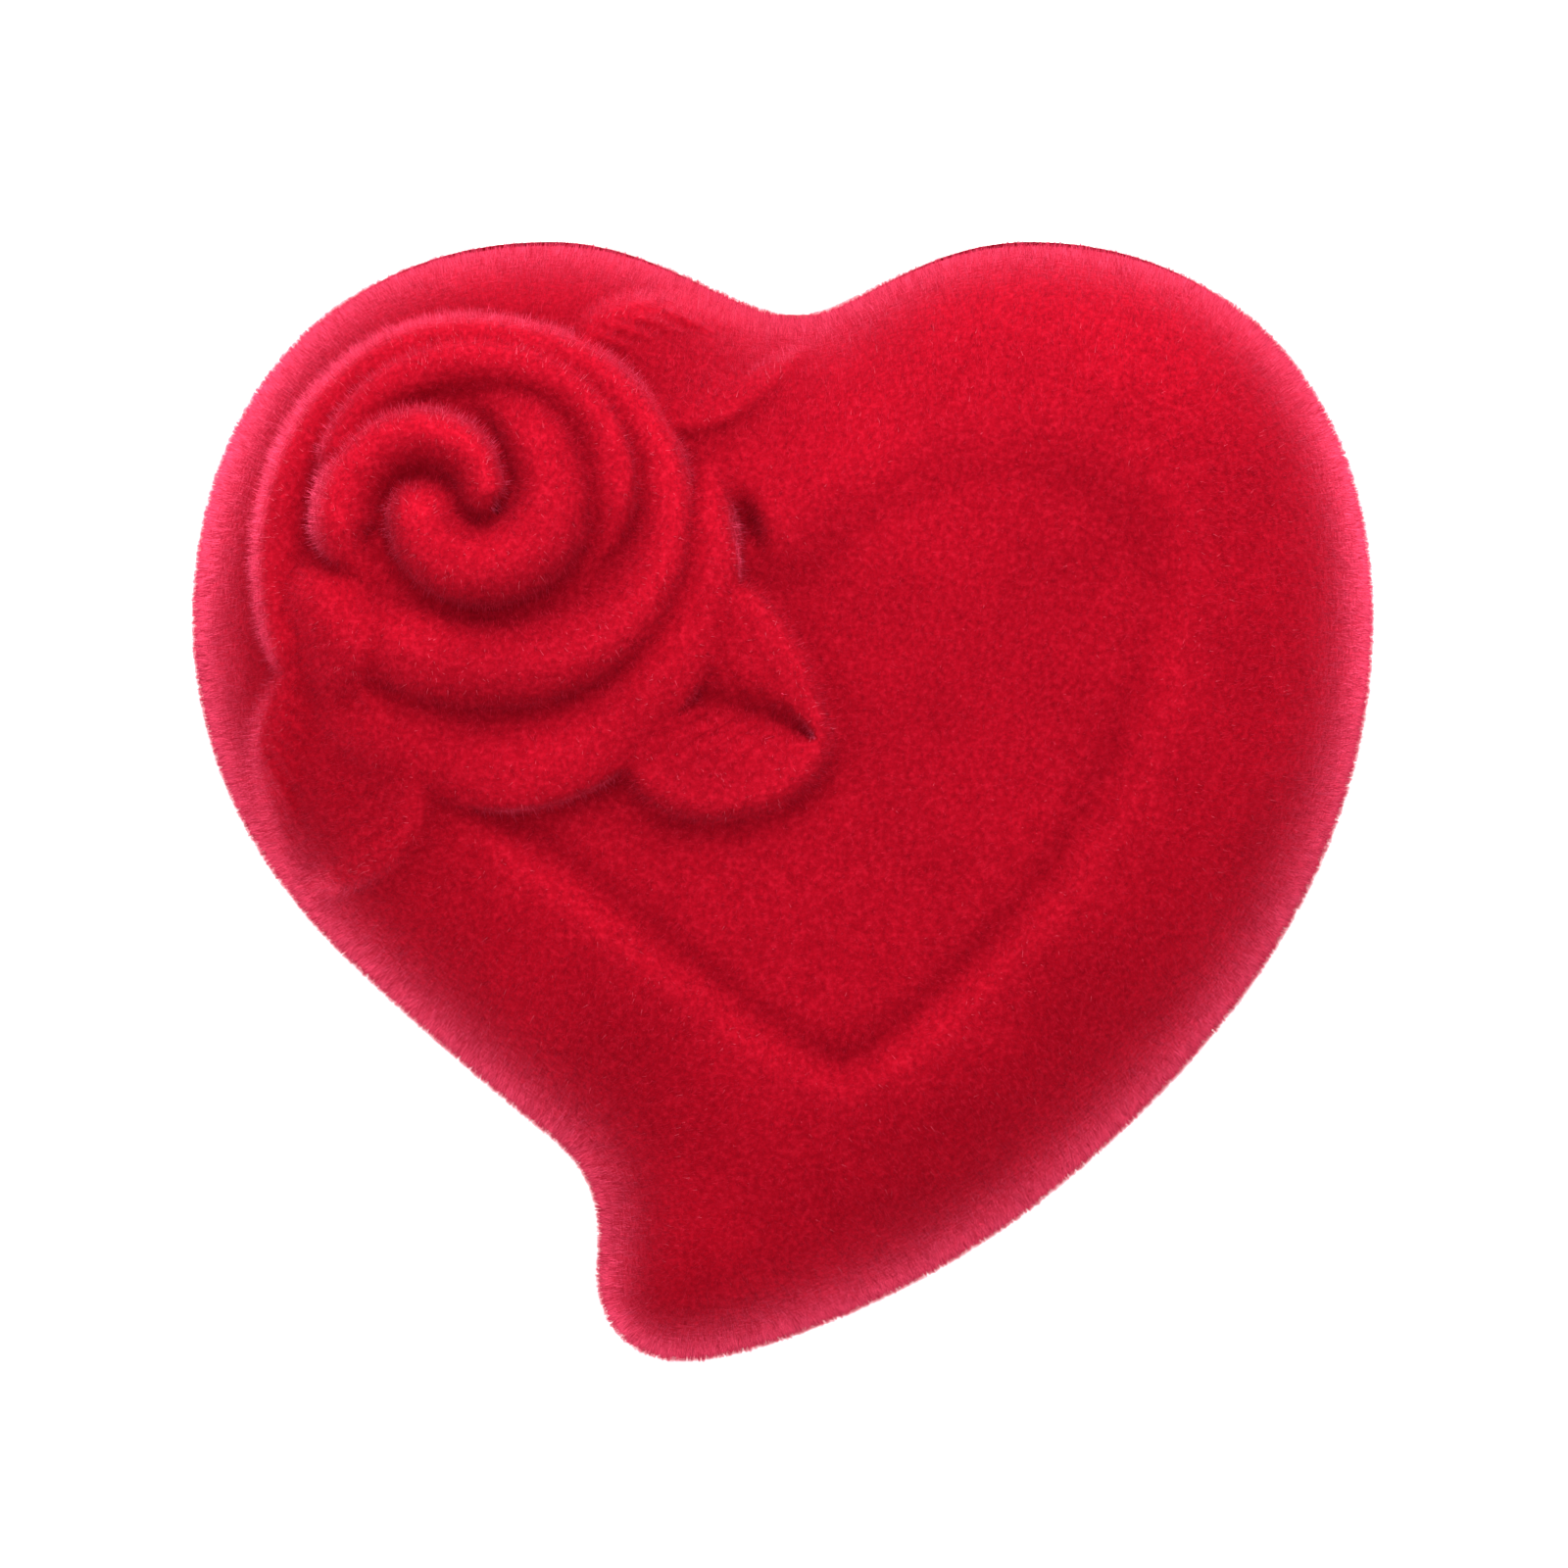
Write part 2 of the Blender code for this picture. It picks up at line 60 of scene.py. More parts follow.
# ---------------------------------------------------------------- the frame's own dimensions
JOINT = next(joint for joint in frame["joints"] if joint["name"] == "lid_hinge")
HINGE = np.array(JOINT["pos_m"]) / MM
OPENING = math.radians(JOINT["range_deg"][1])
BASE_RIM = 2 * HINGE[2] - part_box("lid_shell")[0][2] / MM
LID_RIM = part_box("lid_shell")[0][2] / MM
PAD_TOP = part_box("pad_cover_front")[1][2] / MM
PAD_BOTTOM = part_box("pad_cover_front")[0][2] / MM

# ---------------------------------------------------------------- outline and shell profiles
# Knots clockwise from the notch: x, y, heading in degrees, handle before and handle after.
HEART = (
    (0.9, 24.6, 4, 3.1, 2.7),
    (12.6, 28.5, 0, 5.6, 10.4),
    (30.0, 9.9, -89, 10.9, 12.6),
    (13.4, -20.1, -141, 12.2, 7.8),
    (-5.5, -28.5, 176, 3.5, 2.3),
    (-9.3, -23.9, 87, 2.7, 2.4),
    (-12.1, -16.8, 142, 4.0, 2.8),
    (-23.7, -6.4, 132, 3.5, 5.1),
    (-30.0, 9.4, 90, 6.8, 10.0),
    (-11.9, 28.5, 0, 11.8, 5.8),
)
HEART_CENTRE = np.array((0.0, 5.8))
WALL = 1.2
TOP_WALL = 1.4
BASE_RUN = 5.5
BASE_POWER = 2.3
LID_RISE = 18.4
LID_RUN = 13.0
LID_POWER = 2.3
SEAM_GAP = 0.3
TROUGH_RADIUS = 1.4
TROUGH_HALF_LENGTH = 8.0
NEAR_EDGE = 0.985
LIP = 0.3
FINE = 1200
LID_SPOKES = 600
BASE_SPOKES = 400

# ---------------------------------------------------------------- relief on the lid
# Crest lines of the rose's petals. Each has heights and the widths of the slopes to its left and
# right, spread evenly along it, and the shares of its length that fade in and out.
OUTER_PETAL = (
    (-24.9, 6.0), (-25.8, 8.8), (-26.2, 12.0), (-25.9, 15.1), (-24.8, 18.2), (-22.9, 20.9),
    (-20.1, 23.0), (-16.8, 23.9), (-13.3, 23.6), (-10.2, 22.5), (-7.7, 20.4), (-6.1, 17.7),
    (-5.5, 14.7), (-5.9, 12.0), (-7.3, 9.6), (-9.6, 7.8), (-12.6, 6.9), (-15.5, 6.8),
    (-18.2, 7.4), (-20.6, 8.7), (-22.6, 10.6),
)
INNER_PETAL = (
    (-23.3, 15.5), (-22.8, 18.1), (-21.2, 20.6), (-18.8, 22.2), (-16.0, 22.8), (-13.0, 22.3),
    (-10.6, 21.0), (-8.9, 18.8), (-8.3, 16.0), (-8.8, 13.4), (-10.2, 11.4),
)
FIRST_ARM = (
    (-15.0, 15.9), (-15.5, 17.3), (-16.9, 18.4), (-18.7, 18.8), (-20.6, 18.2), (-22.0, 16.8),
    (-22.7, 15.0), (-22.6, 13.3), (-21.7, 11.9), (-20.4, 10.8),
)
SECOND_ARM = (
    (-18.2, 14.4), (-17.6, 13.2), (-16.2, 12.3), (-14.5, 12.4), (-13.0, 13.4), (-12.2, 15.1),
    (-12.3, 16.9), (-13.2, 18.7), (-14.7, 20.0), (-16.8, 20.7),
)
LOWER_PETAL = (
    (-24.2, 7.2), (-22.2, 4.9), (-19.6, 3.2), (-16.9, 2.2), (-14.3, 1.8), (-11.7, 2.2),
    (-9.2, 3.4), (-7.1, 5.4), (-5.4, 7.7), (-4.2, 10.1), (-3.7, 12.7), (-3.8, 15.3),
    (-4.3, 17.9),
)
PETAL_FILL = ((-24.4, 13.0), (-24.0, 10.2), (-22.2, 7.8), (-19.4, 6.3))
# Each petal: its line, its heights, the widths of its left and right slopes, their powers (the
# outer slope is rounder than the inner one), and how much of its length fades in and out.
PETALS = (
    (OUTER_PETAL, (1.35, 1.55, 1.55, 1.55, 1.6, 1.5), (0.9, 0.9, 0.9, 1.3, 2.3, 2.9),
     (2.0, 1.9, 1.9, 2.1, 2.5, 2.6), 2.2, 1.5, 0.04, 0.10),
    (INNER_PETAL, (1.5, 1.7, 1.55), (1.1, 1.1, 1.4), (2.3, 2.3, 2.4), 2.2, 1.5, 0.10, 0.22),
    (FIRST_ARM, (2.2, 2.3, 1.9), (2.0, 2.7, 2.2), (1.3, 1.5, 1.4), 1.5, 2.2, 0.0, 0.30),
    (SECOND_ARM, (2.05, 2.1, 1.7), (2.3, 2.2, 2.0), (2.2, 3.1, 2.0), 1.5, 2.8, 0.0, 0.30),
    (LOWER_PETAL, (0.9, 1.0, 1.1, 1.2), (2.2, 2.6, 2.4, 1.7), (2.2, 2.7, 2.3, 1.2),
     1.5, 2.4, 0.16, 0.14),
    (PETAL_FILL, (1.15, 1.4, 1.4), (3.0, 3.0), (3.2, 3.2), 2.0, 2.0, 0.30, 0.30),
)
RIDGE_BLEND = 0.16
MOUND = (-15.2, 13.4, 11.0, 0.45)  # x, y, radius and height of the swelling under the rose
PIT = (-1.8, 13.9, 0.75, 1.45, 20, 1.3)  # x, y, half widths, heading and depth beside the rose
# Leaves: outline and midrib, height of the rim, depth of the valley along the midrib, width of
# the slope outside the rim, and how strongly the veins show
LEAVES = (
    (
        ((-6.4, 9.0), (-4.6, 10.9), (-2.4, 10.3), (-0.8, 8.8), (0.5, 6.9), (1.3, 4.9), (1.8, 3.0),
         (0.7, 1.2), (-1.3, 0.2), (-3.7, -0.2), (-6.0, 0.4), (-7.4, 2.2), (-7.6, 5.6)),
        ((-6.2, 6.4), (-4.6, 5.4), (-2.4, 4.7), (-0.2, 4.2), (1.4, 3.3)),
        0.72, 0.66, 1.6, 0.05,
    ),
    (
        ((-9.8, 21.8), (-10.0, 24.0), (-8.2, 25.1), (-5.8, 25.5), (-3.4, 24.9), (-1.2, 24.1),
         (0.8, 23.2), (0.0, 21.8), (-1.5, 20.3), (-3.4, 19.2), (-5.4, 18.9), (-7.4, 19.4)),
        ((-8.4, 21.4), (-6.6, 22.3), (-4.6, 23.1), (-2.4, 23.5), (0.4, 23.2)),
        0.75, 1.25, 1.0, 0.22,
    ),
    (
        ((-22.6, 7.0), (-24.8, 6.8), (-26.2, 4.6), (-26.7, 2.2), (-26.6, -0.2), (-25.9, -2.6),
         (-24.9, -4.6), (-22.2, -4.2), (-19.8, -3.0), (-18.4, -1.0), (-18.6, 1.4), (-20.2, 4.2)),
        ((-23.2, 6.2), (-22.8, 3.4), (-23.2, 0.8), (-24.1, -1.8), (-24.9, -4.2)),
        0.85, 1.35, 1.0, 0.14,
    ),
)
VEIN_SPACING = 1.05
# The sunk heart's foot line, knots as in HEART. Its step is deeper and steeper towards the tip.
INNER_HEART = (
    (1.6, 11.4, 42, 2.0, 3.4),
    (12.2, 16.2, -3, 4.6, 3.6),
    (18.4, 9.9, -95, 3.6, 4.4),
    (12.6, -4.6, -129, 6.2, 6.0),
    (3.0, -13.1, 180, 1.1, 1.1),
    (-3.0, -9.4, 141, 3.0, 5.0),
    (-14.0, -0.6, 141, 5.0, 4.0),
    (-16.0, 8.0, 60, 4.0, 6.0),
)
SUNK = (0.80, 0.60)  # near its tip, and near its lobe
SUNK_STEP = (2.1, 3.3)
SUNK_ENDS = (-8.0, 14.0)  # y where those hold
FOOT_GROOVE = (0.30, 0.05)
FOOT_GROOVE_WIDTH = 0.9
CREST_REACH = 32.0
CREST_CELL = 0.2


def heading(degrees):
    return np.array([math.cos(math.radians(degrees)), math.sin(math.radians(degrees))])


def bezier_loop(knots, per_span=160):
    """Points along a closed outline, counterclockwise."""
    points = []
    share = np.linspace(0, 1, per_span, endpoint=False)[:, None]
    for start, end in zip(knots, knots[1:] + knots[:1]):
        here, there = np.array(start[:2]), np.array(end[:2])
        leave = here + start[4] * heading(start[2])
        arrive = there - end[3] * heading(end[2])
        points.append(
            (1 - share) ** 3 * here
            + 3 * (1 - share) ** 2 * share * leave
            + 3 * (1 - share) * share**2 * arrive
            + share**3 * there
        )
    return np.concatenate(points)[::-1]


def even(loop, count):
    """The same closed loop with its points evenly spaced."""
    closed = np.vstack([loop, loop[:1]])
    length = np.concatenate([[0], np.cumsum(np.linalg.norm(np.diff(closed, axis=0), axis=1))])
    wanted = np.linspace(0, length[-1], count, endpoint=False)
    return np.stack([np.interp(wanted, length, closed[:, axis]) for axis in (0, 1)], axis=1)


def smooth_line(knots, per_span=14):
    """A Catmull-Rom curve through the knots."""
    knots = np.array(knots)
    knots = np.vstack([2 * knots[0] - knots[1], knots, 2 * knots[-1] - knots[-2]])
    share = np.linspace(0, 1, per_span, endpoint=False)[:, None]
    spans = []
    for a, b, c, d in zip(knots, knots[1:], knots[2:], knots[3:]):
        spans.append(
            0.5
            * (
                2 * b
                + (c - a) * share
                + (2 * a - 5 * b + 4 * c - d) * share**2
                + (3 * b - 3 * c + d - a) * share**3
            )
        )
    return np.vstack(spans + [knots[-2:-1]])


def inset(loop, distance):
    """A counterclockwise loop moved in by this distance, with its corners mitred."""
    before = loop - np.roll(loop, 1, axis=0)
    after = np.roll(loop, -1, axis=0) - loop
    before /= np.linalg.norm(before, axis=1)[:, None]
    after /= np.linalg.norm(after, axis=1)[:, None]
    inward = np.stack([-(before + after)[:, 1], (before + after)[:, 0]], axis=1)
    inward /= np.linalg.norm(inward, axis=1)[:, None]
    facing = inward[:, 1] * after[:, 0] - inward[:, 0] * after[:, 1]
    return loop + distance * inward / facing[:, None]


def in_chunks(points, function, size=4000):
    return np.concatenate([function(points[i : i + size]) for i in range(0, len(points), size)])


def depth(points, loop):
    """How far in from the loop each point is, rounded off where two sides meet."""
    step = np.linalg.norm(np.roll(loop, -1, axis=0) - loop, axis=1)

    def one(part):
        gap2 = ((part[:, None] - loop[None]) ** 2).sum(axis=2)
        return (0.5 * (step / gap2**1.5).sum(axis=1)) ** -0.5

    return in_chunks(points, one)


def nearest(points, line):
    """For each point: its distance to a line, the line's nearest point, and which side it is on."""
    along = np.gradient(line, axis=0)
    along /= np.linalg.norm(along, axis=1)[:, None]
    left = np.stack([-along[:, 1], along[:, 0]], axis=1)

    def one(part):
        gap2 = ((part[:, None] - line[None]) ** 2).sum(axis=2)
        index = gap2.argmin(axis=1)
        side = ((part - line[index]) * left[index]).sum(axis=1)
        return np.column_stack([np.sqrt(gap2[np.arange(len(part)), index]), index, side])

    found = in_chunks(points, one)
    return found[:, 0], found[:, 1].astype(int), found[:, 2]


def smoothstep(value, low, high):
    share = np.clip((value - low) / (high - low), 0, 1)
    return share * share * (3 - 2 * share)


def smooth_max(a, b, blend):
    return 0.5 * (a + b + np.sqrt((a - b) ** 2 + blend**2))


def rounded(share, power):
    """The height of a superellipse's quarter: 0 at its edge, 1 once its run is over."""
    return (1 - (1 - np.clip(share, 0, 1)) ** power) ** (1 / power)


def lid_height(depths, thickness=0.0):
    return LID_RIM + (LID_RISE - thickness) * rounded(depths / LID_RUN, LID_POWER)


def base_height(depths, thickness=0.0):
    return BASE_RIM - (BASE_RIM - thickness) * rounded(depths / BASE_RUN, BASE_POWER)


def seam_lift(points):
    """How far each rim stands from the hinge's axis: a slit, opening out behind the axis."""
    behind = points[:, 1] - HINGE[1]
    lift = SEAM_GAP / 2 + math.tan(OPENING / 2) * np.clip(behind, 0, None)
    in_notch = np.abs(points[:, 0] - HINGE[0]) < TROUGH_HALF_LENGTH
    trough = np.sqrt(np.clip(TROUGH_RADIUS**2 - behind**2, 0, None))
    return np.where(in_notch, np.maximum(lift, trough), lift)


HEART_LOOP = even(bezier_loop(HEART), FINE)
INNER_HEART_LOOP = even(bezier_loop(INNER_HEART), 700)


# ---------------------------------------------------------------- relief
def spread(values, share):
    """The value at each share of a line's length, of values spread evenly along it."""
    return np.interp(share, np.linspace(0, 1, len(values)), values)


def around(points, line, margin=4.0):
    """Whether each point is within this much of the line's box."""
    low, high = np.min(line, axis=0) - margin, np.max(line, axis=0) + margin
    return ((points > low) & (points < high)).all(axis=1)


def where_near(function, points, shape, elsewhere):
    """The function's heights near the shape, whose first entry is its line, and one value elsewhere."""
    near = around(points, shape[0])
    height = np.full(len(points), elsewhere)
    height[near] = function(points[near], shape)
    return height


def ridge_height(points, ridge):
    line, heights, left_widths, right_widths, left_power, right_power, fade_in, fade_out = ridge
    line = smooth_line(line)
    distance, index, side = nearest(points, line)
    share = index / (len(line) - 1)
    fade = np.ones(len(points))
    if fade_in:
        fade *= smoothstep(share, -0.02, fade_in)
    if fade_out:
        fade *= 1 - smoothstep(share, 1 - fade_out, 1.02)
    width = np.where(side > 0, spread(left_widths, share), spread(right_widths, share))
    power = np.where(side > 0, left_power, right_power)
    return spread(heights, share) * (fade - (distance / width) ** power)


def inside(points, loop):
    """Whether each point is inside the loop, by counting the sides it would cross."""
    start, end = loop, np.roll(loop, -1, axis=0)
    slope = (end[:, 0] - start[:, 0]) / (end[:, 1] - start[:, 1] + 1e-12)

    def one(part):
        x, y = part[:, :1], part[:, 1:]
        straddles = (start[:, 1] > y) != (end[:, 1] > y)
        crossed = straddles & (x < start[:, 0] + slope * (y - start[:, 1]))
        return crossed.sum(axis=1) % 2 == 1

    return in_chunks(points, one)


def leaf_height(points, leaf):
    outline, midrib, rise, sink, edge, veins = leaf
    loop = smooth_line(outline + outline[:1])
    away = nearest(points, loop)[0]
    inner = np.where(inside(points, loop), away, -away)
    from_midrib, index = nearest(points, smooth_line(midrib))[:2]
    across = from_midrib / (from_midrib + away + 0.01)
    height = rise - sink * (1 - across) ** 1.2
    along = from_midrib * 0.8 + index / 7
    ribs = 0.5 + 0.5 * np.cos(2 * math.pi * along / VEIN_SPACING)
    height += veins * ribs * smoothstep(inner, 0.3, 1.0) * smoothstep(from_midrib, 0.2, 0.8)
    return height * smoothstep(inner, -edge, 0.3)


def rose_relief(points):
    height = np.zeros(len(points))
    for leaf in LEAVES:
        height = smooth_max(height, where_near(leaf_height, points, leaf, 0.0), 0.10)
    for ridge in PETALS:
        height = smooth_max(height, where_near(ridge_height, points, ridge, -9.0), RIDGE_BLEND)
    x, y, radius, rise = MOUND
    away = np.linalg.norm(points - (x, y), axis=1)
    height += rise * (1 - smoothstep(away, radius * 0.75, radius))
    x, y, across, along, turn, sink = PIT
    local = (points - (x, y)) @ np.column_stack([heading(turn), heading(turn + 90)])
    height -= sink * np.exp(-((local / (across, along)) ** 2).sum(axis=1))
    return height


def sunk_heart(points):
    """0 outside the sunk heart, and down to -SUNK inside it, with a groove along its foot."""
    away = nearest(points, np.vstack([INNER_HEART_LOOP, INNER_HEART_LOOP[:1]]))[0]
    outward = np.where(inside(points, INNER_HEART_LOOP), -away, away)
    sink, step, groove = (
        np.interp(points[:, 1], SUNK_ENDS, ends) for ends in (SUNK, SUNK_STEP, FOOT_GROOVE)
    )
    floor = -sink * (1 - smoothstep(outward, -0.2, step))
    return floor - groove * np.exp(-((outward / FOOT_GROOVE_WIDTH) ** 2))


def lid_relief(points, depths):
    rose = rose_relief(points)
    covered = smoothstep(rose, 0.05, 0.5)
    relief = rose + sunk_heart(points) * (1 - covered)
    slope = np.clip(1 - depths / LID_RUN, 0, 1) ** 2
    return relief * smoothstep(depths, 0.7, 2.4) * (1 + 0.6 * slope)


def gaussian(grid, sigma):
    """The grid blurred, sigma in cells."""
    across, along = (np.fft.fftfreq(n) for n in grid.shape)
    falloff = np.exp(-2 * (math.pi * sigma) ** 2 * (across[:, None] ** 2 + along[None] ** 2))
    return np.real(np.fft.ifft2(np.fft.fft2(grid) * falloff))


def make_crest_map():
    """1 on the relief's sharp crests and -1 in its grooves, on a square grid."""
    count = 2 * round(CREST_REACH / CREST_CELL)
    axis = (np.arange(count) - count / 2) * CREST_CELL
    points = np.stack(np.meshgrid(axis, axis, indexing="ij"), axis=-1).reshape(-1, 2)
    height = rose_relief(points)
    height += sunk_heart(points) * (1 - smoothstep(height, 0.05, 0.5))
    height = height.reshape(count, count)
    narrow = gaussian(height, 0.25 / CREST_CELL) - gaussian(height, 0.9 / CREST_CELL)
    wide = gaussian(height, 0.5 / CREST_CELL) - gaussian(height, 2.2 / CREST_CELL)
    return np.clip(narrow / 0.5 + 0.4 * wide, -1, 1)


def crest_at(crests, points):
    place = np.clip((points[:, :2] + CREST_REACH) / CREST_CELL, 0, len(crests) - 2)
    i, j = place.astype(int).T
    u, v = (place % 1).T
    low = crests[i, j] * (1 - u) + crests[i + 1, j] * u
    high = crests[i, j + 1] * (1 - u) + crests[i + 1, j + 1] * u
    return low * (1 - v) + high * v


# ---------------------------------------------------------------- mesh helpers
def new_object(name, points, faces, smooth=True):
    mesh = bpy.data.meshes.new(name)
    mesh.from_pydata((np.asarray(points) * MM).tolist(), [], faces)
    made = bpy.data.objects.new(name, mesh)
    bpy.context.collection.objects.link(made)
    if smooth:
        mesh.shade_smooth()
    return made


def grid_faces(rings, spokes, first=0, flip=False):
    """Quads between rings of points from the edge inwards, and a fan to the centre point."""
    j = np.arange(spokes)
    k = (j + 1) % spokes
    rows = first + spokes * np.arange(rings - 1)[:, None]
    quads = np.stack([rows + j, rows + k, rows + spokes + k, rows + spokes + j], axis=-1)
    quads = quads.reshape(-1, 4)
    last = first + spokes * (rings - 1)
    fan = np.stack([last + j, last + k, np.full(spokes, first + spokes * rings)], axis=-1)
    if flip:
        quads, fan = quads[:, ::-1], fan[:, ::-1]
    return quads.tolist() + fan.tolist()


def shares_to_centre(rings, power):
    """Shares of each spoke, dense near the edge."""
    return 1 - np.linspace(0, 1, rings + 1)[:-1] ** power


def polar_sheet(loop, spokes, shares, height):
    """Rings of points inside a loop, from its edge inwards, then the centre."""
    edge = loop[:: FINE // spokes] if len(loop) == FINE else even(loop, spokes)
    arms = edge - HEART_CENTRE
    flat = (HEART_CENTRE + arms[None] * np.asarray(shares)[:, None, None]).reshape(-1, 2)
    near = np.minimum(shares, NEAR_EDGE)
    inside = (HEART_CENTRE + arms[None] * near[:, None, None]).reshape(-1, 2)
    depths = depth(inside, loop)
    scale = np.clip((1 - np.asarray(shares)) / (1 - NEAR_EDGE), 0, 1)
    depths *= np.repeat(scale, spokes)
    flat = np.vstack([flat, HEART_CENTRE])
    depths = np.append(depths, depth(HEART_CENTRE[None], loop))
    return np.column_stack([flat, height(flat, depths)])


def lip_rings(loop, spokes, rim, turn, steps=4):
    """Rings that round the rim's outer edge, from the rim's face to the wall."""
    rings = []
    for angle in np.linspace(0, math.pi / 2, steps, endpoint=False):
        ring = inset(loop, LIP * (1 - math.sin(angle)))[:: FINE // spokes]
        rings.append(np.column_stack([ring, rim(ring) + turn * LIP * (1 - math.cos(angle))]))
    return np.concatenate(rings)


def shell(name, spokes, outer_shares, rim, turn, outer_height, inner_height, inner_rings=12):
    """A closed shell. turn is 1 for the lid and -1 for the base, whose surfaces look down."""
    limit = np.maximum if turn > 0 else np.minimum
    lip = lip_rings(HEART_LOOP, spokes, rim, turn)
    outer = polar_sheet(
        HEART_LOOP,
        spokes,
        outer_shares,
        lambda p, d: limit(outer_height(p, d), rim(p) + turn * LIP),
    )
    inner = polar_sheet(
        inset(HEART_LOOP, WALL),
        spokes,
        shares_to_centre(inner_rings, 2.2),
        lambda p, d: limit(inner_height(p, d), rim(p)),
    )
    outer = np.vstack([lip, outer])
    outer_rings = len(outer) // spokes
    faces = grid_faces(outer_rings, spokes, 0, turn < 0)
    faces += grid_faces(inner_rings, spokes, len(outer), turn > 0)
    for j in range(spokes):
        k = (j + 1) % spokes
        band = (len(outer) + j, len(outer) + k, k, j)
        faces.append(band if turn > 0 else band[::-1])
    return new_object(name, np.vstack([outer, inner]), faces), outer, outer_rings


# ---------------------------------------------------------------- materials
class Nodes:
    """Short calls for building a material's node tree."""

    def __init__(self, name):
        self.material = bpy.data.materials.new(name)
        self.material.use_nodes = True
        self.tree = self.material.node_tree
        self.shader = self.tree.nodes["Principled BSDF"]

    def add(self, kind, inputs=(), **settings):
        node = self.tree.nodes.new(kind)
        for key, value in settings.items():
            setattr(node, key, value)
        for socket, value in dict(inputs).items():
            self.feed(node.inputs[socket], value)
        return node

    def feed(self, socket, value):
        if isinstance(value, bpy.types.NodeSocket):
            self.tree.links.new(value, socket)
        elif isinstance(value, (tuple, list)) and len(value) == 3 and socket.type == "RGBA":
            socket.default_value = (*value, 1)
        else:
            socket.default_value = value

    def place(self):
        return self.add("ShaderNodeTexCoord").outputs["Object"]

    def noise(self, per_mm, detail=2.0, roughness=0.5):
        """Noise with this many features per millimetre."""
        node = self.add(
            "ShaderNodeTexNoise",
            {"Vector": self.place(), "Scale": per_mm / MM, "Detail": detail, "Roughness": roughness},
        )
        return node.outputs["Fac"]

    def ramp(self, value, stops):
        node = self.add("ShaderNodeValToRGB", {"Fac": value})
        ramp = node.color_ramp
        while len(ramp.elements) < len(stops):
            ramp.elements.new(0.5)
        for element, (position, colour) in zip(ramp.elements, stops):
            element.position = position
            element.color = (*colour, 1)
        return node.outputs["Color"]

    def mix(self, share, first, second):
        node = self.add("ShaderNodeMix", data_type="RGBA")
        for socket, value in zip((0, 6, 7), (share, first, second)):
            self.feed(node.inputs[socket], value)
        return node.outputs[2]

    def multiply(self, first, second):
        node = self.add("ShaderNodeMix", data_type="RGBA", blend_type="MULTIPLY")
        for socket, value in zip((0, 6, 7), (1.0, first, second)):
            self.feed(node.inputs[socket], value)
        return node.outputs[2]

    def math(self, operation, first, second=0.0):
        node = self.add("ShaderNodeMath", {0: first, 1: second}, operation=operation)
        return node.outputs[0]

    def bump(self, height, strength, distance):
        node = self.add(
            "ShaderNodeBump", {"Height": height, "Strength": strength, "Distance": distance * MM}
        )
        self.feed(self.shader.inputs["Normal"], node.outputs["Normal"])

    def set(self, **values):
        for name, value in values.items():
            self.feed(self.shader.inputs[name.replace("_", " ").title().replace("Ior", "IOR")], value)


FLOCK_DARK = (0.155, 0.0013, 0.0050)
FLOCK_MID = (0.200, 0.0017, 0.0067)
FLOCK_LIGHT = (0.26, 0.0034, 0.0115)
FIBRE_DARK = (0.22, 0.0021, 0.0093)
FIBRE_MID = (0.30, 0.0047, 0.0165)
FIBRE_LIGHT = (0.38, 0.0120, 0.0315)
FIBRE_PALE = (0.52, 0.06, 0.10)
FLOCK_SHEEN = (1.0, 0.09, 0.20)
# What the flock's colour is multiplied by, from grooves to crests: painted shade darkens the grooves
# and a painted highlight lightens the crests
CREST_PAINTED_LIGHT = ((0.0, (0.72, 0.7, 0.7)), (0.5, (1.0, 1.0, 1.0)), (1.0, (1.25, 1.5, 1.4)))


def flock_material():
    nodes = Nodes("red_flock_pile")
    grain = nodes.noise(3.4, 3.0, 0.65)
    colour = nodes.ramp(grain, ((0.30, FLOCK_DARK), (0.5, FLOCK_MID), (0.70, FLOCK_LIGHT)))
    patches = nodes.noise(0.11, 3.0, 0.55)
    shade = nodes.ramp(patches, ((0.3, (0.84, 0.84, 0.84)), (0.7, (1.1, 1.1, 1.1))))
    # Painted light: the flock is darkened in the relief's grooves as painted shade and lightened on its
    # crests as a painted highlight.
    crest_light = nodes.add("ShaderNodeAttribute", attribute_name="crest_light").outputs["Fac"]
    crest_light = nodes.ramp(crest_light, CREST_PAINTED_LIGHT)
    mixed = nodes.multiply(nodes.multiply(colour, shade), crest_light)
    nodes.set(base_color=mixed)
    nodes.set(roughness=1.0, sheen_weight=1.0, sheen_roughness=0.3, sheen_tint=FLOCK_SHEEN)
    nodes.shader.inputs["Specular IOR Level"].default_value = 0.0
    nodes.bump(nodes.noise(2.8, 3.0, 0.6), 0.35, 0.2)
    return nodes.material


def fibre_material(name, colour):
    nodes = Nodes(name)
    nodes.set(base_color=colour, roughness=1.0, sheen_weight=1.0, sheen_roughness=0.3)
    nodes.set(sheen_tint=FLOCK_SHEEN)
    nodes.shader.inputs["Specular IOR Level"].default_value = 0.0
    return nodes.material


def satin_material():
    nodes = Nodes("cream_satin_cloth")
    threads = nodes.add(
        "ShaderNodeTexWave",
        {"Vector": nodes.place(), "Scale": 2.2 / MM, "Distortion": 1.5, "Detail": 1.0},
    )
    tone = nodes.ramp(threads.outputs["Fac"], ((0.0, (0.80, 0.73, 0.62)), (1.0, (0.90, 0.84, 0.74))))
    nodes.set(base_color=tone, sheen_weight=0.3, sheen_roughness=0.3)
    nodes.set(roughness=nodes.math("ADD", nodes.math("MULTIPLY", nodes.noise(0.4), 0.2), 0.22))
    nodes.shader.inputs["Anisotropic"].default_value = 0.5
    nodes.bump(threads.outputs["Fac"], 0.12, 0.03)
    return nodes.material


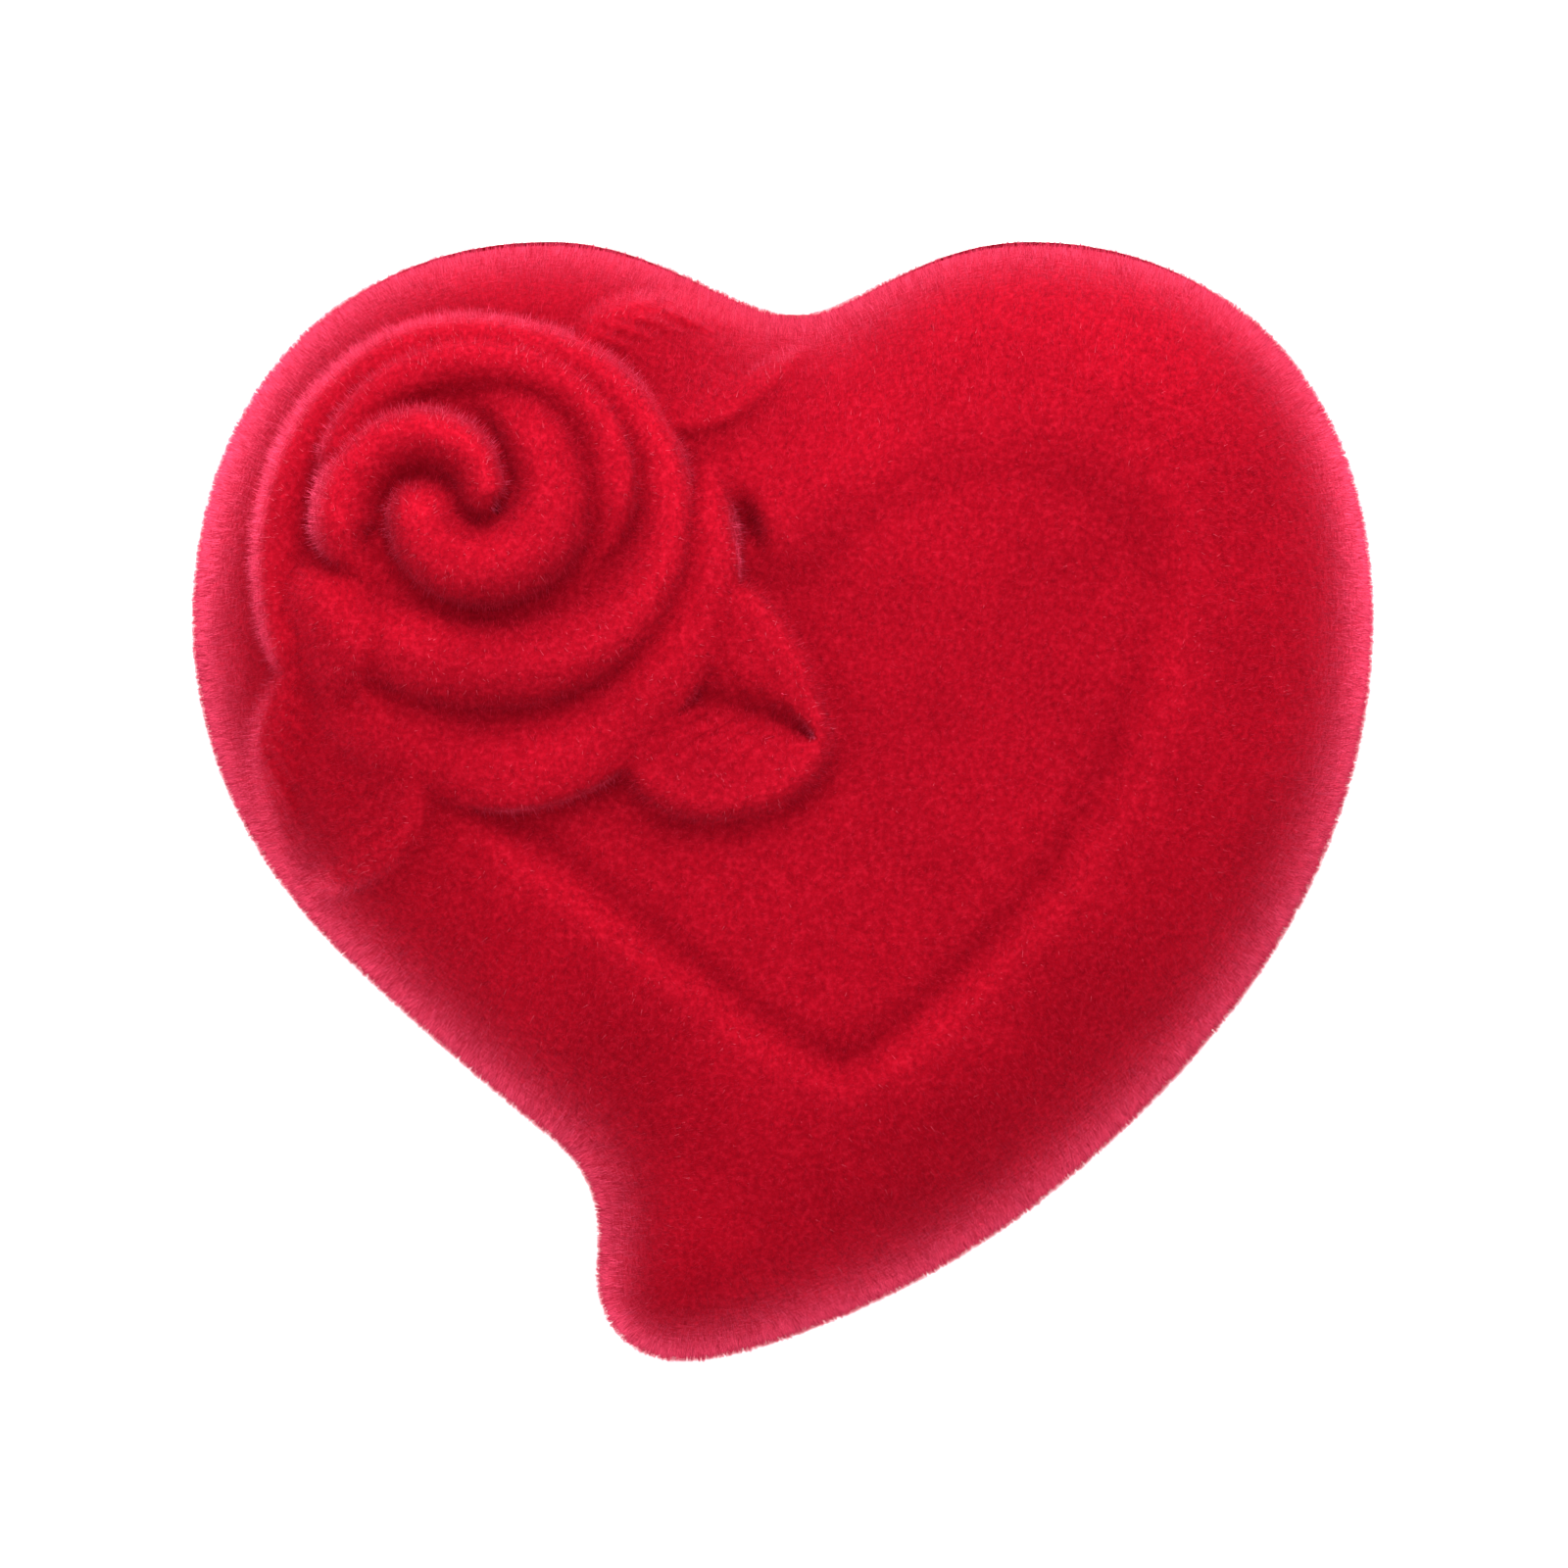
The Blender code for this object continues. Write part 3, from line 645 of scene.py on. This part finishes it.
def velvet_material():
    nodes = Nodes("cream_velvet_cloth")
    grain = nodes.noise(3.6, 3.0, 0.6)
    colour = nodes.ramp(grain, ((0.3, (0.66, 0.59, 0.48)), (0.7, (0.86, 0.80, 0.69))))
    nodes.set(base_color=colour, roughness=0.95, sheen_weight=0.7, sheen_roughness=0.4)
    nodes.bump(grain, 0.6, 0.15)
    return nodes.material


def foam_material():
    nodes = Nodes("white_foam_cells")
    cells = nodes.add("ShaderNodeTexVoronoi", {"Vector": nodes.place(), "Scale": 2.5 / MM})
    tone = nodes.ramp(cells.outputs["Distance"], ((0.0, (0.62, 0.61, 0.56)), (0.5, (0.88, 0.87, 0.82))))
    nodes.set(base_color=tone, roughness=0.9)
    nodes.bump(cells.outputs["Distance"], 0.7, 0.2)
    return nodes.material


def card_material():
    nodes = Nodes("grey_card_stock")
    fibre = nodes.noise(1.6, 4.0, 0.7)
    nodes.set(base_color=nodes.ramp(fibre, ((0.3, (0.36, 0.33, 0.29)), (0.7, (0.52, 0.49, 0.44)))))
    nodes.set(roughness=0.92)
    nodes.bump(fibre, 0.3, 0.05)
    return nodes.material


def plastic_material():
    nodes = Nodes("cream_moulded_plastic")
    haze = nodes.noise(0.25, 3.0)
    nodes.set(base_color=nodes.ramp(haze, ((0.3, (0.72, 0.66, 0.55)), (0.7, (0.80, 0.74, 0.64)))))
    nodes.set(roughness=nodes.math("ADD", nodes.math("MULTIPLY", haze, 0.15), 0.4))
    nodes.bump(nodes.noise(4.0), 0.15, 0.02)
    return nodes.material


def steel_material(name, tone, flocked):
    """Rolled steel. flocked adds the red pile that covers what faces out of the notch."""
    nodes = Nodes(name)
    scratches = nodes.add("ShaderNodeMapping", {"Vector": nodes.place(), "Scale": (0.15, 1.0, 1.0)})
    grain = nodes.add(
        "ShaderNodeTexNoise",
        {"Vector": scratches.outputs["Vector"], "Scale": 9.0 / MM, "Detail": 2.0},
    ).outputs["Fac"]
    colour = nodes.ramp(grain, ((0.3, tuple(0.75 * c for c in tone)), (0.7, tone)))
    rough = nodes.math("ADD", nodes.math("MULTIPLY", grain, 0.25), 0.22)
    metal = 1.0
    if flocked:
        y = nodes.add("ShaderNodeSeparateXYZ", {"Vector": nodes.place()}).outputs["Y"]
        ragged = nodes.math("MULTIPLY", nodes.noise(2.0), 0.5 * MM)
        pile = nodes.math("GREATER_THAN", nodes.math("ADD", y, ragged), (HINGE[1] + 0.35) * MM)
        colour = nodes.mix(pile, colour, FLOCK_MID)
        rough = nodes.math("MAXIMUM", rough, nodes.math("MULTIPLY", pile, 0.95))
        metal = nodes.math("SUBTRACT", 1.0, pile)
    nodes.set(base_color=colour, roughness=rough, metallic=metal)
    nodes.bump(grain, 0.15, 0.02)
    return nodes.material


# ---------------------------------------------------------------- flocked shells
def mark_crests(made, crests):
    """Stores where the relief is proud, from 0 in grooves to 1 on crests, for the flock's painted shade
    in grooves and painted highlight on crests.
    """
    places = np.empty(len(made.data.vertices) * 3)
    made.data.vertices.foreach_get("co", places)
    values = 0.5 + 0.5 * crest_at(crests, places.reshape(-1, 3) / MM)
    attribute = made.data.attributes.new("crest_light", "FLOAT", "POINT")
    attribute.data.foreach_set("value", values.astype(np.float32))


def make_lid_shell(look, crests):
    def outer(points, depths):
        return lid_height(depths) + lid_relief(points, depths)

    made, points, rings = shell(
        "lid_shell_flocked",
        LID_SPOKES,
        shares_to_centre(140, 1.6),
        lambda p: HINGE[2] + seam_lift(p),
        1,
        outer,
        lambda p, d: lid_height(d, TOP_WALL),
    )
    mark_crests(made, crests)
    finish_piece(made, look, "lid", "red_flock", "lid_shell")
    return points, rings


def make_base_shell(look, crests):
    made, points, rings = shell(
        "base_shell_flocked",
        BASE_SPOKES,
        shares_to_centre(70, 2.0),
        lambda p: HINGE[2] - seam_lift(p),
        -1,
        lambda p, d: base_height(d),
        lambda p, d: base_height(d, TOP_WALL),
    )
    mark_crests(made, crests)
    finish_piece(made, look, "base", "red_flock", "base_shell")
    return points, rings


def finish_piece(made, looks, body, slot, *nodes):
    """A piece's look, the body it rides on, its slot, which is not used, and the nodes that it stands
    for.
    """
    for look in looks if isinstance(looks, (list, tuple)) else [looks]:
        made.data.materials.append(look)
    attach(made, body)
    if nodes:
        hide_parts(*nodes)


# ---------------------------------------------------------------- flock fibres
FIBRE_LENGTH = (0.28, 0.56)
FIBRE_ROOT = 0.08  # how far each fibre starts below the surface
FIBRE_SHADE = 0.25  # how much a fibre's own side shows in its shading
NAP_LEAN = 0.25  # lean shared by neighbours, then each fibre's own
OWN_LEAN = 0.32
# How far crests push fibres towards lighter looks and grooves towards darker ones: painted highlight
# and painted shade
CREST_LIGHT_WEIGHT = 0.1
LOWEST_FIBRE = 0.6  # none grow below this height, where the box stands
FIBRE_WIDTH = 0.026
FIBRE_STEPS = (0.45, 0.86, 0.995)  # where random draws pass to a lighter fibre
PATCH_FIBRES = 48000
LID_PATCHES = 4
BASE_PATCHES = 2


def surface_samples(points, spokes, rings, count, turn, keep):
    """Places and outward normals spread evenly over a polar sheet."""
    grid = points[: rings * spokes].reshape(rings, spokes, 3)
    a, b = grid[:-1], grid[1:]
    c, d = np.roll(b, -1, axis=1), np.roll(a, -1, axis=1)
    normal = np.cross(c - a, b - d) * turn
    area = np.linalg.norm(normal, axis=2)
    normal /= np.maximum(area, 1e-9)[..., None]
    weight = (area * keep(a)).ravel()
    chosen = RNG.choice(weight.size, count, p=weight / weight.sum())
    row, column = np.divmod(chosen, spokes)
    u, v = RNG.random((2, count, 1))
    place = (
        a[row, column] * (1 - u) * (1 - v)
        + b[row, column] * u * (1 - v)
        + c[row, column] * u * v
        + d[row, column] * (1 - u) * v
    )
    return place, normal[row, column]


def fibre_mesh(name, place, normal, lean, lengths, width):
    """Closed three-sided spikes, one for each fibre."""
    count = len(place)
    along = normal + lean
    along /= np.linalg.norm(along, axis=1)[:, None]
    across = np.cross(along, RNG.normal(size=(count, 3)))
    across /= np.linalg.norm(across, axis=1)[:, None]
    other = np.cross(along, across)
    root = place - FIBRE_ROOT * normal
    corners = [
        root + width / 2 * (math.cos(t) * across + math.sin(t) * other)
        for t in (0, 2 * math.pi / 3, 4 * math.pi / 3)
    ]
    tip = place + along * lengths[:, None]
    points = np.stack([*corners, tip], axis=1).reshape(-1, 3)
    pattern = np.array([(0, 1, 3), (1, 2, 3), (2, 0, 3), (0, 2, 1)])
    faces = (4 * np.arange(count)[:, None, None] + pattern[None]).reshape(-1, 3)
    made = new_object(name, points, faces.tolist())
    # Shaded as the surface they stand on, so that the pile as a whole catches the light.
    soft = normal + FIBRE_SHADE * across
    soft /= np.linalg.norm(soft, axis=1)[:, None]
    made.data.normals_split_custom_set_from_vertices(np.repeat(soft, 4, axis=0).tolist())
    return made


def colour_fibres(made, looks, crest_light):
    """Gives each fibre, four faces, a look at random, pushed towards lighter looks on crests and darker
    ones in grooves: a painted highlight and painted shade.
    """
    for look in looks:
        made.data.materials.append(look)
    score = RNG.random(len(crest_light)) + CREST_LIGHT_WEIGHT * crest_light
    pick = np.searchsorted(FIBRE_STEPS, score)
    made.data.polygons.foreach_set("material_index", np.repeat(pick, 4).astype(np.int32))


def make_pile(name, points, spokes, rings, turn, looks, crests, body):
    """One patch of flock: fibres spread over a shell, leaning the way of the nap."""
    count = PATCH_FIBRES
    place, normal = surface_samples(
        points, spokes, rings, count, turn, lambda p: (p[..., 2] > LOWEST_FIBRE).astype(float)
    )
    nap = np.column_stack([
        np.sin(place[:, 0] * 0.31 + 1.3 * np.sin(place[:, 1] * 0.17)),
        np.cos(place[:, 1] * 0.27 + 1.1 * np.sin(place[:, 0] * 0.21)),
        np.zeros(count),
    ])
    lean = NAP_LEAN * nap + OWN_LEAN * RNG.normal(size=(count, 3))
    lengths = RNG.uniform(*FIBRE_LENGTH, count)
    made = fibre_mesh(name, place, normal, lean, lengths, FIBRE_WIDTH)
    colour_fibres(made, looks, crest_at(crests, place) if turn > 0 else np.zeros(count))
    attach(made, body)


# ---------------------------------------------------------------- soft pieces
CLOTH_SCALE = 10.0  # the pads are simulated ten times larger, where Cloth is steady
CLOTH_FRAMES = 20
CLOTH_QUALITY = 6
HELD_HEIGHT = 0.5  # what lies this near a pad's bottom is held still
PAD_SPOKES = 160
CROWN = 1.6  # height of a pad's rounded upper edge
CROWN_SHARE = 0.12  # share of a spoke that it takes up
WALL_RINGS = 6
FOOT_SHARE = 0.99  # a pad's foot is this much smaller than its walls
CROWN_RINGS = (0.985, 0.96, 0.92, 0.86, 0.78, 0.68, 0.56, 0.42, 0.27, 0.13)
SLIT_Y = 7.0
SLIT_WIDTH = 0.8
PAD_INSET = 2.9
COVER_ROOM = 0.1  # the cover starts this far inside its space, and swells into it
COVER_DROP = 0.2
COVER_CAP = 0.3
COVER_PRESSURE = 3.0
CORE_SHRINK = 0.05
CORE_LIFT = 0.1
CORE_DROP = 1.2
CORE_CAP = 0.1
CORE_PRESSURE = 1.0
CORE_POINTS = 600


def swollen(name, loop, bottom, top, cap, pressure):
    """A closed cloth form blown up by pressure, its bottom held, no point moving past the cap."""
    count = PAD_SPOKES
    edge = even(loop, count)
    middle = edge.mean(axis=0)
    foot = middle + (edge - middle) * FOOT_SHARE
    rings = [np.column_stack([foot, np.full(count, bottom)])]
    walls = np.linspace(bottom, top - CROWN, WALL_RINGS)[1:]
    rings += [np.column_stack([edge, np.full(count, z)]) for z in walls]
    for share in CROWN_RINGS:
        rise = math.sin(math.pi / 2 * min((1 - share) / CROWN_SHARE, 1)) ** 0.6
        ring = middle + (edge - middle) * share
        rings.append(np.column_stack([ring, np.full(count, top - CROWN + CROWN * rise)]))
    points = np.vstack(rings + [[(*middle, top)]])
    faces = grid_faces(len(rings), count)
    faces.append(tuple(range(count))[::-1])
    made = new_object(name, points, faces)
    simulate(made, np.asarray(points), bottom, cap, pressure)
    smooth = made.modifiers.new("finer", "SUBSURF")
    smooth.levels = 1
    smooth.render_levels = 1
    apply_modifiers(made)
    return made


def simulate(made, points, bottom, cap, pressure):
    """Runs Cloth on the mesh and keeps the result. The cap is the most that a point may move."""
    held = made.vertex_groups.new(name="held")
    low = np.flatnonzero(points[:, 2] < bottom + HELD_HEIGHT)
    held.add(low.tolist(), 1.0, "REPLACE")
    start = points * MM
    made.data.vertices.foreach_set("co", (start * CLOTH_SCALE).ravel())
    cloth = made.modifiers.new("cloth", "CLOTH")
    cloth.settings.use_pressure = True
    cloth.settings.uniform_pressure_force = pressure
    cloth.settings.vertex_group_mass = "held"
    cloth.settings.effector_weights.gravity = 0
    cloth.settings.quality = CLOTH_QUALITY
    for number in range(1, CLOTH_FRAMES + 1):
        bpy.context.scene.frame_set(number)
    graph = bpy.context.evaluated_depsgraph_get()
    moved = np.empty(len(points) * 3)
    made.evaluated_get(graph).data.vertices.foreach_get("co", moved)
    made.modifiers.clear()
    bpy.context.scene.frame_set(1)
    moved = moved.reshape(-1, 3) / CLOTH_SCALE - start
    reach = np.linalg.norm(moved, axis=1)
    moved *= (np.minimum(reach, cap * MM) / np.maximum(reach, 1e-9))[:, None]
    made.data.vertices.foreach_set("co", (start + moved).ravel())
    made.data.update()


def apply_modifiers(made):
    """Leaves the evaluated mesh on the object, with no modifier."""
    bpy.context.view_layer.update()
    graph = bpy.context.evaluated_depsgraph_get()
    mesh = bpy.data.meshes.new_from_object(made.evaluated_get(graph))
    made.modifiers.clear()
    made.data = mesh
    mesh.shade_smooth()


def cut_across(loop, keep_front, limit):
    """The part of a loop in front of or behind a line across it."""
    sign = 1 if keep_front else -1
    side = (limit - loop[:, 1]) * sign
    kept = []
    for here, there, a, b in zip(loop, np.roll(loop, -1, axis=0), side, np.roll(side, -1)):
        if a > 0:
            kept.append(here)
        if a * b < 0:
            kept.append(here + (there - here) * a / (a - b))
    return np.array(kept)


def make_pads(velvet, foam):
    """The two ring pads: a velvet cover over a foam core, on each side of the slit."""
    edge = inset(HEART_LOOP, PAD_INSET + COVER_ROOM)
    for side, keep_front in (("front", True), ("rear", False)):
        limit = SLIT_Y + SLIT_WIDTH / 2 * (-1 if keep_front else 1)
        loop = cut_across(edge, keep_front, limit)
        top = PAD_TOP - COVER_DROP
        cover = swollen(
            f"velvet_cover_{side}", loop, PAD_BOTTOM, top, COVER_CAP, COVER_PRESSURE
        )
        finish_piece(cover, velvet, "base", "cream_velvet", f"pad_cover_{side}")
        inner = even(loop, CORE_POINTS)
        inner = inner + (inner.mean(axis=0) - inner) * CORE_SHRINK
        bottom, top = PAD_BOTTOM + CORE_LIFT, PAD_TOP - CORE_DROP
        core = swollen(f"foam_core_{side}", inner, bottom, top, CORE_CAP, CORE_PRESSURE)
        finish_piece(core, foam, "base", "white_foam", f"ring_pad_{side}")


LINER_EDGE = 0.86  # share of each spoke that the lid's liner reaches
FOAM_DROP = 2.25  # from the lid's inner face to the middle of the foam
FOAM_THICKNESS = 2.0
FOAM_ROUNDING = 0.04  # share of a spoke over which the foam's edge is rounded
SATIN_DROP = 3.75
SATIN_THICKNESS = 0.3
SATIN_TURN_UP = 2.6
# Where the satin turns up round the foam: shares of each spoke, and drops from the lid's face.
SATIN_WRAP = ((0.874, 1.2), (0.875, 1.7), (0.875, 2.4), (0.870, 3.0), (0.856, 3.45), (0.836, 3.68))


def pucker(points, depths):
    """Soft puckers that fade out inwards from the glued edge."""
    angle = np.arctan2(points[:, 1] - HEART_CENTRE[1], points[:, 0] - HEART_CENTRE[0])
    near_edge = np.exp(-np.clip(depths - 3.5, 0, None) / 3.0)
    return 0.10 * near_edge * np.sin(46 * angle + 1.5 * np.sin(5 * angle))


def make_lining_foam(look):
    """The foam under the satin, with its edge rounded over."""
    spokes = 300
    shares = LINER_EDGE * shares_to_centre(36, 1.5)
    inner = inset(HEART_LOOP, WALL)
    middle = polar_sheet(inner, spokes, shares, lambda p, d: lid_height(d, TOP_WALL) - FOAM_DROP)
    across = np.clip((LINER_EDGE - shares) / FOAM_ROUNDING, 0.02, 1)
    half = np.append(np.repeat(np.sqrt(1 - (1 - across) ** 2), spokes), 1) * FOAM_THICKNESS / 2
    lift = np.column_stack([np.zeros((len(middle), 2)), half])
    upper, lower = middle + lift, middle - lift
    rings = len(shares)
    faces = grid_faces(rings, spokes) + grid_faces(rings, spokes, len(upper), True)
    for j in range(spokes):
        k = (j + 1) % spokes
        faces.append((len(upper) + j, len(upper) + k, k, j))
    made = new_object("foam_lining", np.vstack([upper, lower]), faces)
    finish_piece(made, look, "lid", "white_foam", "lid_liner_foam")


def satin_cut_area():
    """The flat cut's area in square metres: the panel's plan, and what turns up round it."""
    plan = HEART_CENTRE + (inset(HEART_LOOP, WALL) - HEART_CENTRE) * LINER_EDGE
    after = np.roll(plan, -1, axis=0)
    area = (plan[:, 0] * after[:, 1] - after[:, 0] * plan[:, 1]).sum() / 2
    return (area + np.linalg.norm(after - plan, axis=1).sum() * SATIN_TURN_UP) * MM**2


def make_satin(look):
    """The satin stretched over the foam and turned up round its edge, as one closed sheet."""
    spokes = 400
    wrap, drops = np.array(SATIN_WRAP).T
    face = 0.82 * shares_to_centre(40, 1.3)
    shares = np.concatenate([wrap, face])
    drop = np.concatenate([drops, np.full(len(face), SATIN_DROP)])
    drop = np.append(np.repeat(drop, spokes), SATIN_DROP)
    inner = inset(HEART_LOOP, WALL)
    points = polar_sheet(
        inner, spokes, shares, lambda p, d: lid_height(d, TOP_WALL) - drop + pucker(p, d)
    )
    made = new_object("satin_lining", points, grid_faces(len(shares), spokes, 0, True))
    thicken = made.modifiers.new("thickness", "SOLIDIFY")
    thicken.thickness = SATIN_THICKNESS * MM
    thicken.offset = 0
    apply_modifiers(made)
    finish_piece(made, look, "lid", "cream_satin", "lid_liner_satin")
    area = satin_cut_area()


# ---------------------------------------------------------------- snap spring
SPRING_STATIONS = 48
SPRING_CORNER = 0.06
SPRING_THICKNESS = 0.25
SPRING_TAPER = (0.12, 0.8)  # how much narrower its ends are, and where that starts
SPRING_SHARP = 40  # degrees


def make_spring(look):
    """The bowed strip, each end in one hinge leaf, curved round the barrel."""
    low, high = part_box("snap_spring")
    x_low, y_low, z_low = (value / MM for value in low)
    x_high, y_high, z_high = (value / MM for value in high)
    thickness = SPRING_THICKNESS
    rise = np.linspace(z_low, z_high, SPRING_STATIONS)
    turn = (rise - HINGE[2]) / (z_high - HINGE[2])
    bow = (y_high - y_low - thickness) * (1 + np.cos(math.pi * turn)) / 2
    taper, taper_start = SPRING_TAPER
    narrow = 1 - taper * np.clip(np.abs(turn) - taper_start, 0, None) / (1 - taper_start)
    half = (x_high - x_low) / 2 * narrow
    middle = (x_low + x_high) / 2
    c = SPRING_CORNER
    section = (
        (-1, c), (-1, thickness - c), (-1 + c, thickness), (1 - c, thickness),
        (1, thickness - c), (1, c), (1 - c, 0), (-1 + c, 0),
    )
    points = [
        (middle + half[i] * x, y_high - bow[i] - thickness + y, rise[i])
        for i in range(SPRING_STATIONS)
        for x, y in section
    ]
    count = len(section)
    faces = []
    for row in range(0, (SPRING_STATIONS - 1) * count, count):
        for j in range(count):
            k = (j + 1) % count
            faces.append((row + j, row + k, row + count + k, row + count + j))
    last = (SPRING_STATIONS - 1) * count
    faces += [tuple(range(count))[::-1], tuple(range(last, last + count))]
    made = new_object("snap_spring_strip", points, [face[::-1] for face in faces])
    made.data.set_sharp_from_angle(angle=math.radians(SPRING_SHARP))
    made.data.materials.append(look)
    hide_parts("snap_spring")
    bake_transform(made)


# ---------------------------------------------------------------- the rest, in place
def make_simple_rest(looks):
    """Gives each carried-over node its material."""
    for node, look in looks.items():
        for slot in frame["nodes"][node].material_slots:
            slot.material = look


# ---------------------------------------------------------------- stage, light and camera
FRAME_WIDTH = 80.0  # what the picture spans at this height:
FOCUS_HEIGHT = 24.0
CAMERA_HEIGHT = 1800.0
VIEW_CENTRE = (0.05, 0.82)
FLOOR_SIZE = 1500
SKY_STRENGTH = 1.5


def make_stage():
    size = FLOOR_SIZE
    floor = new_object(
        "floor",
        [(-size, -size, 0), (size, -size, 0), (size, size, 0), (-size, size, 0)],
        [(0, 1, 2, 3)],
        smooth=False,
    )
    nodes = Nodes("pale_floor")
    nodes.set(base_color=(0.93, 0.93, 0.93), roughness=0.8)
    nodes.set(emission_color=(1, 1, 1), emission_strength=1.0)
    floor.data.materials.append(nodes.material)


def add_light(name, location, size, power, colour=(1, 1, 1)):
    light = bpy.data.lights.new(name, "AREA")
    light.size = size * MM
    light.energy = power
    light.color = colour
    made = bpy.data.objects.new(name, light)
    made.location = Vector(location) * MM
    made.rotation_euler = (-Vector(location)).to_track_quat("-Z", "Y").to_euler()
    bpy.context.collection.objects.link(made)


def make_lights():
    world = bpy.data.worlds.new("studio")
    bpy.context.scene.world = world
    world.use_nodes = True
    background = world.node_tree.nodes["Background"]
    background.inputs["Color"].default_value = (1, 1, 1, 1)
    background.inputs["Strength"].default_value = SKY_STRENGTH
    add_light("back_softbox", (40, 420, 300), 260, 4.0)
    add_light("top_softbox", (-60, 60, 600), 300, 2.0)


def make_camera():
    camera = bpy.data.cameras.new("camera")
    camera.sensor_width = 36
    camera.lens = 36 * (CAMERA_HEIGHT - FOCUS_HEIGHT) / FRAME_WIDTH
    camera.clip_start = 0.01
    camera.clip_end = 20
    made = bpy.data.objects.new("camera", camera)
    made.location = Vector((*VIEW_CENTRE, CAMERA_HEIGHT)) * MM
    bpy.context.collection.objects.link(made)
    bpy.context.scene.camera = made
    bpy.context.scene.view_settings.view_transform = "Standard"


def main():
    flock = flock_material()
    fibres = [
        fibre_material("flock_fibre_dark", FIBRE_DARK),
        fibre_material("flock_fibre_mid", FIBRE_MID),
        fibre_material("flock_fibre_light", FIBRE_LIGHT),
        fibre_material("flock_fibre_pale", FIBRE_PALE),
    ]
    crests = make_crest_map()
    points, rings = make_lid_shell(flock, crests)
    for patch in range(LID_PATCHES):
        name = f"lid_pile_{patch + 1}"
        make_pile(name, points, LID_SPOKES, rings, 1, fibres, crests, "lid")
    points, rings = make_base_shell(flock, np.zeros_like(crests))
    for patch in range(BASE_PATCHES):
        name = f"base_pile_{patch + 1}"
        make_pile(name, points, BASE_SPOKES, rings, -1, fibres, crests, "base")
    steel = steel_material("stamped_steel_leaf", (0.62, 0.62, 0.63), True)
    make_simple_rest({
        "base_collar": plastic_material(),
        "hinge_leaf_base": steel,
        "hinge_leaf_lid": steel,
        "hinge_pin": steel_material("steel_pin", (0.66, 0.66, 0.67), False),
        "insert_board": card_material(),
        "lid_liner_board": card_material(),
    })
    make_pads(velvet_material(), foam_material())
    make_lining_foam(foam_material())
    make_satin(satin_material())
    make_spring(steel_material("spring_strip", (0.45, 0.46, 0.5), False))
    make_stage()
    make_lights()
    make_camera()


main()
import json
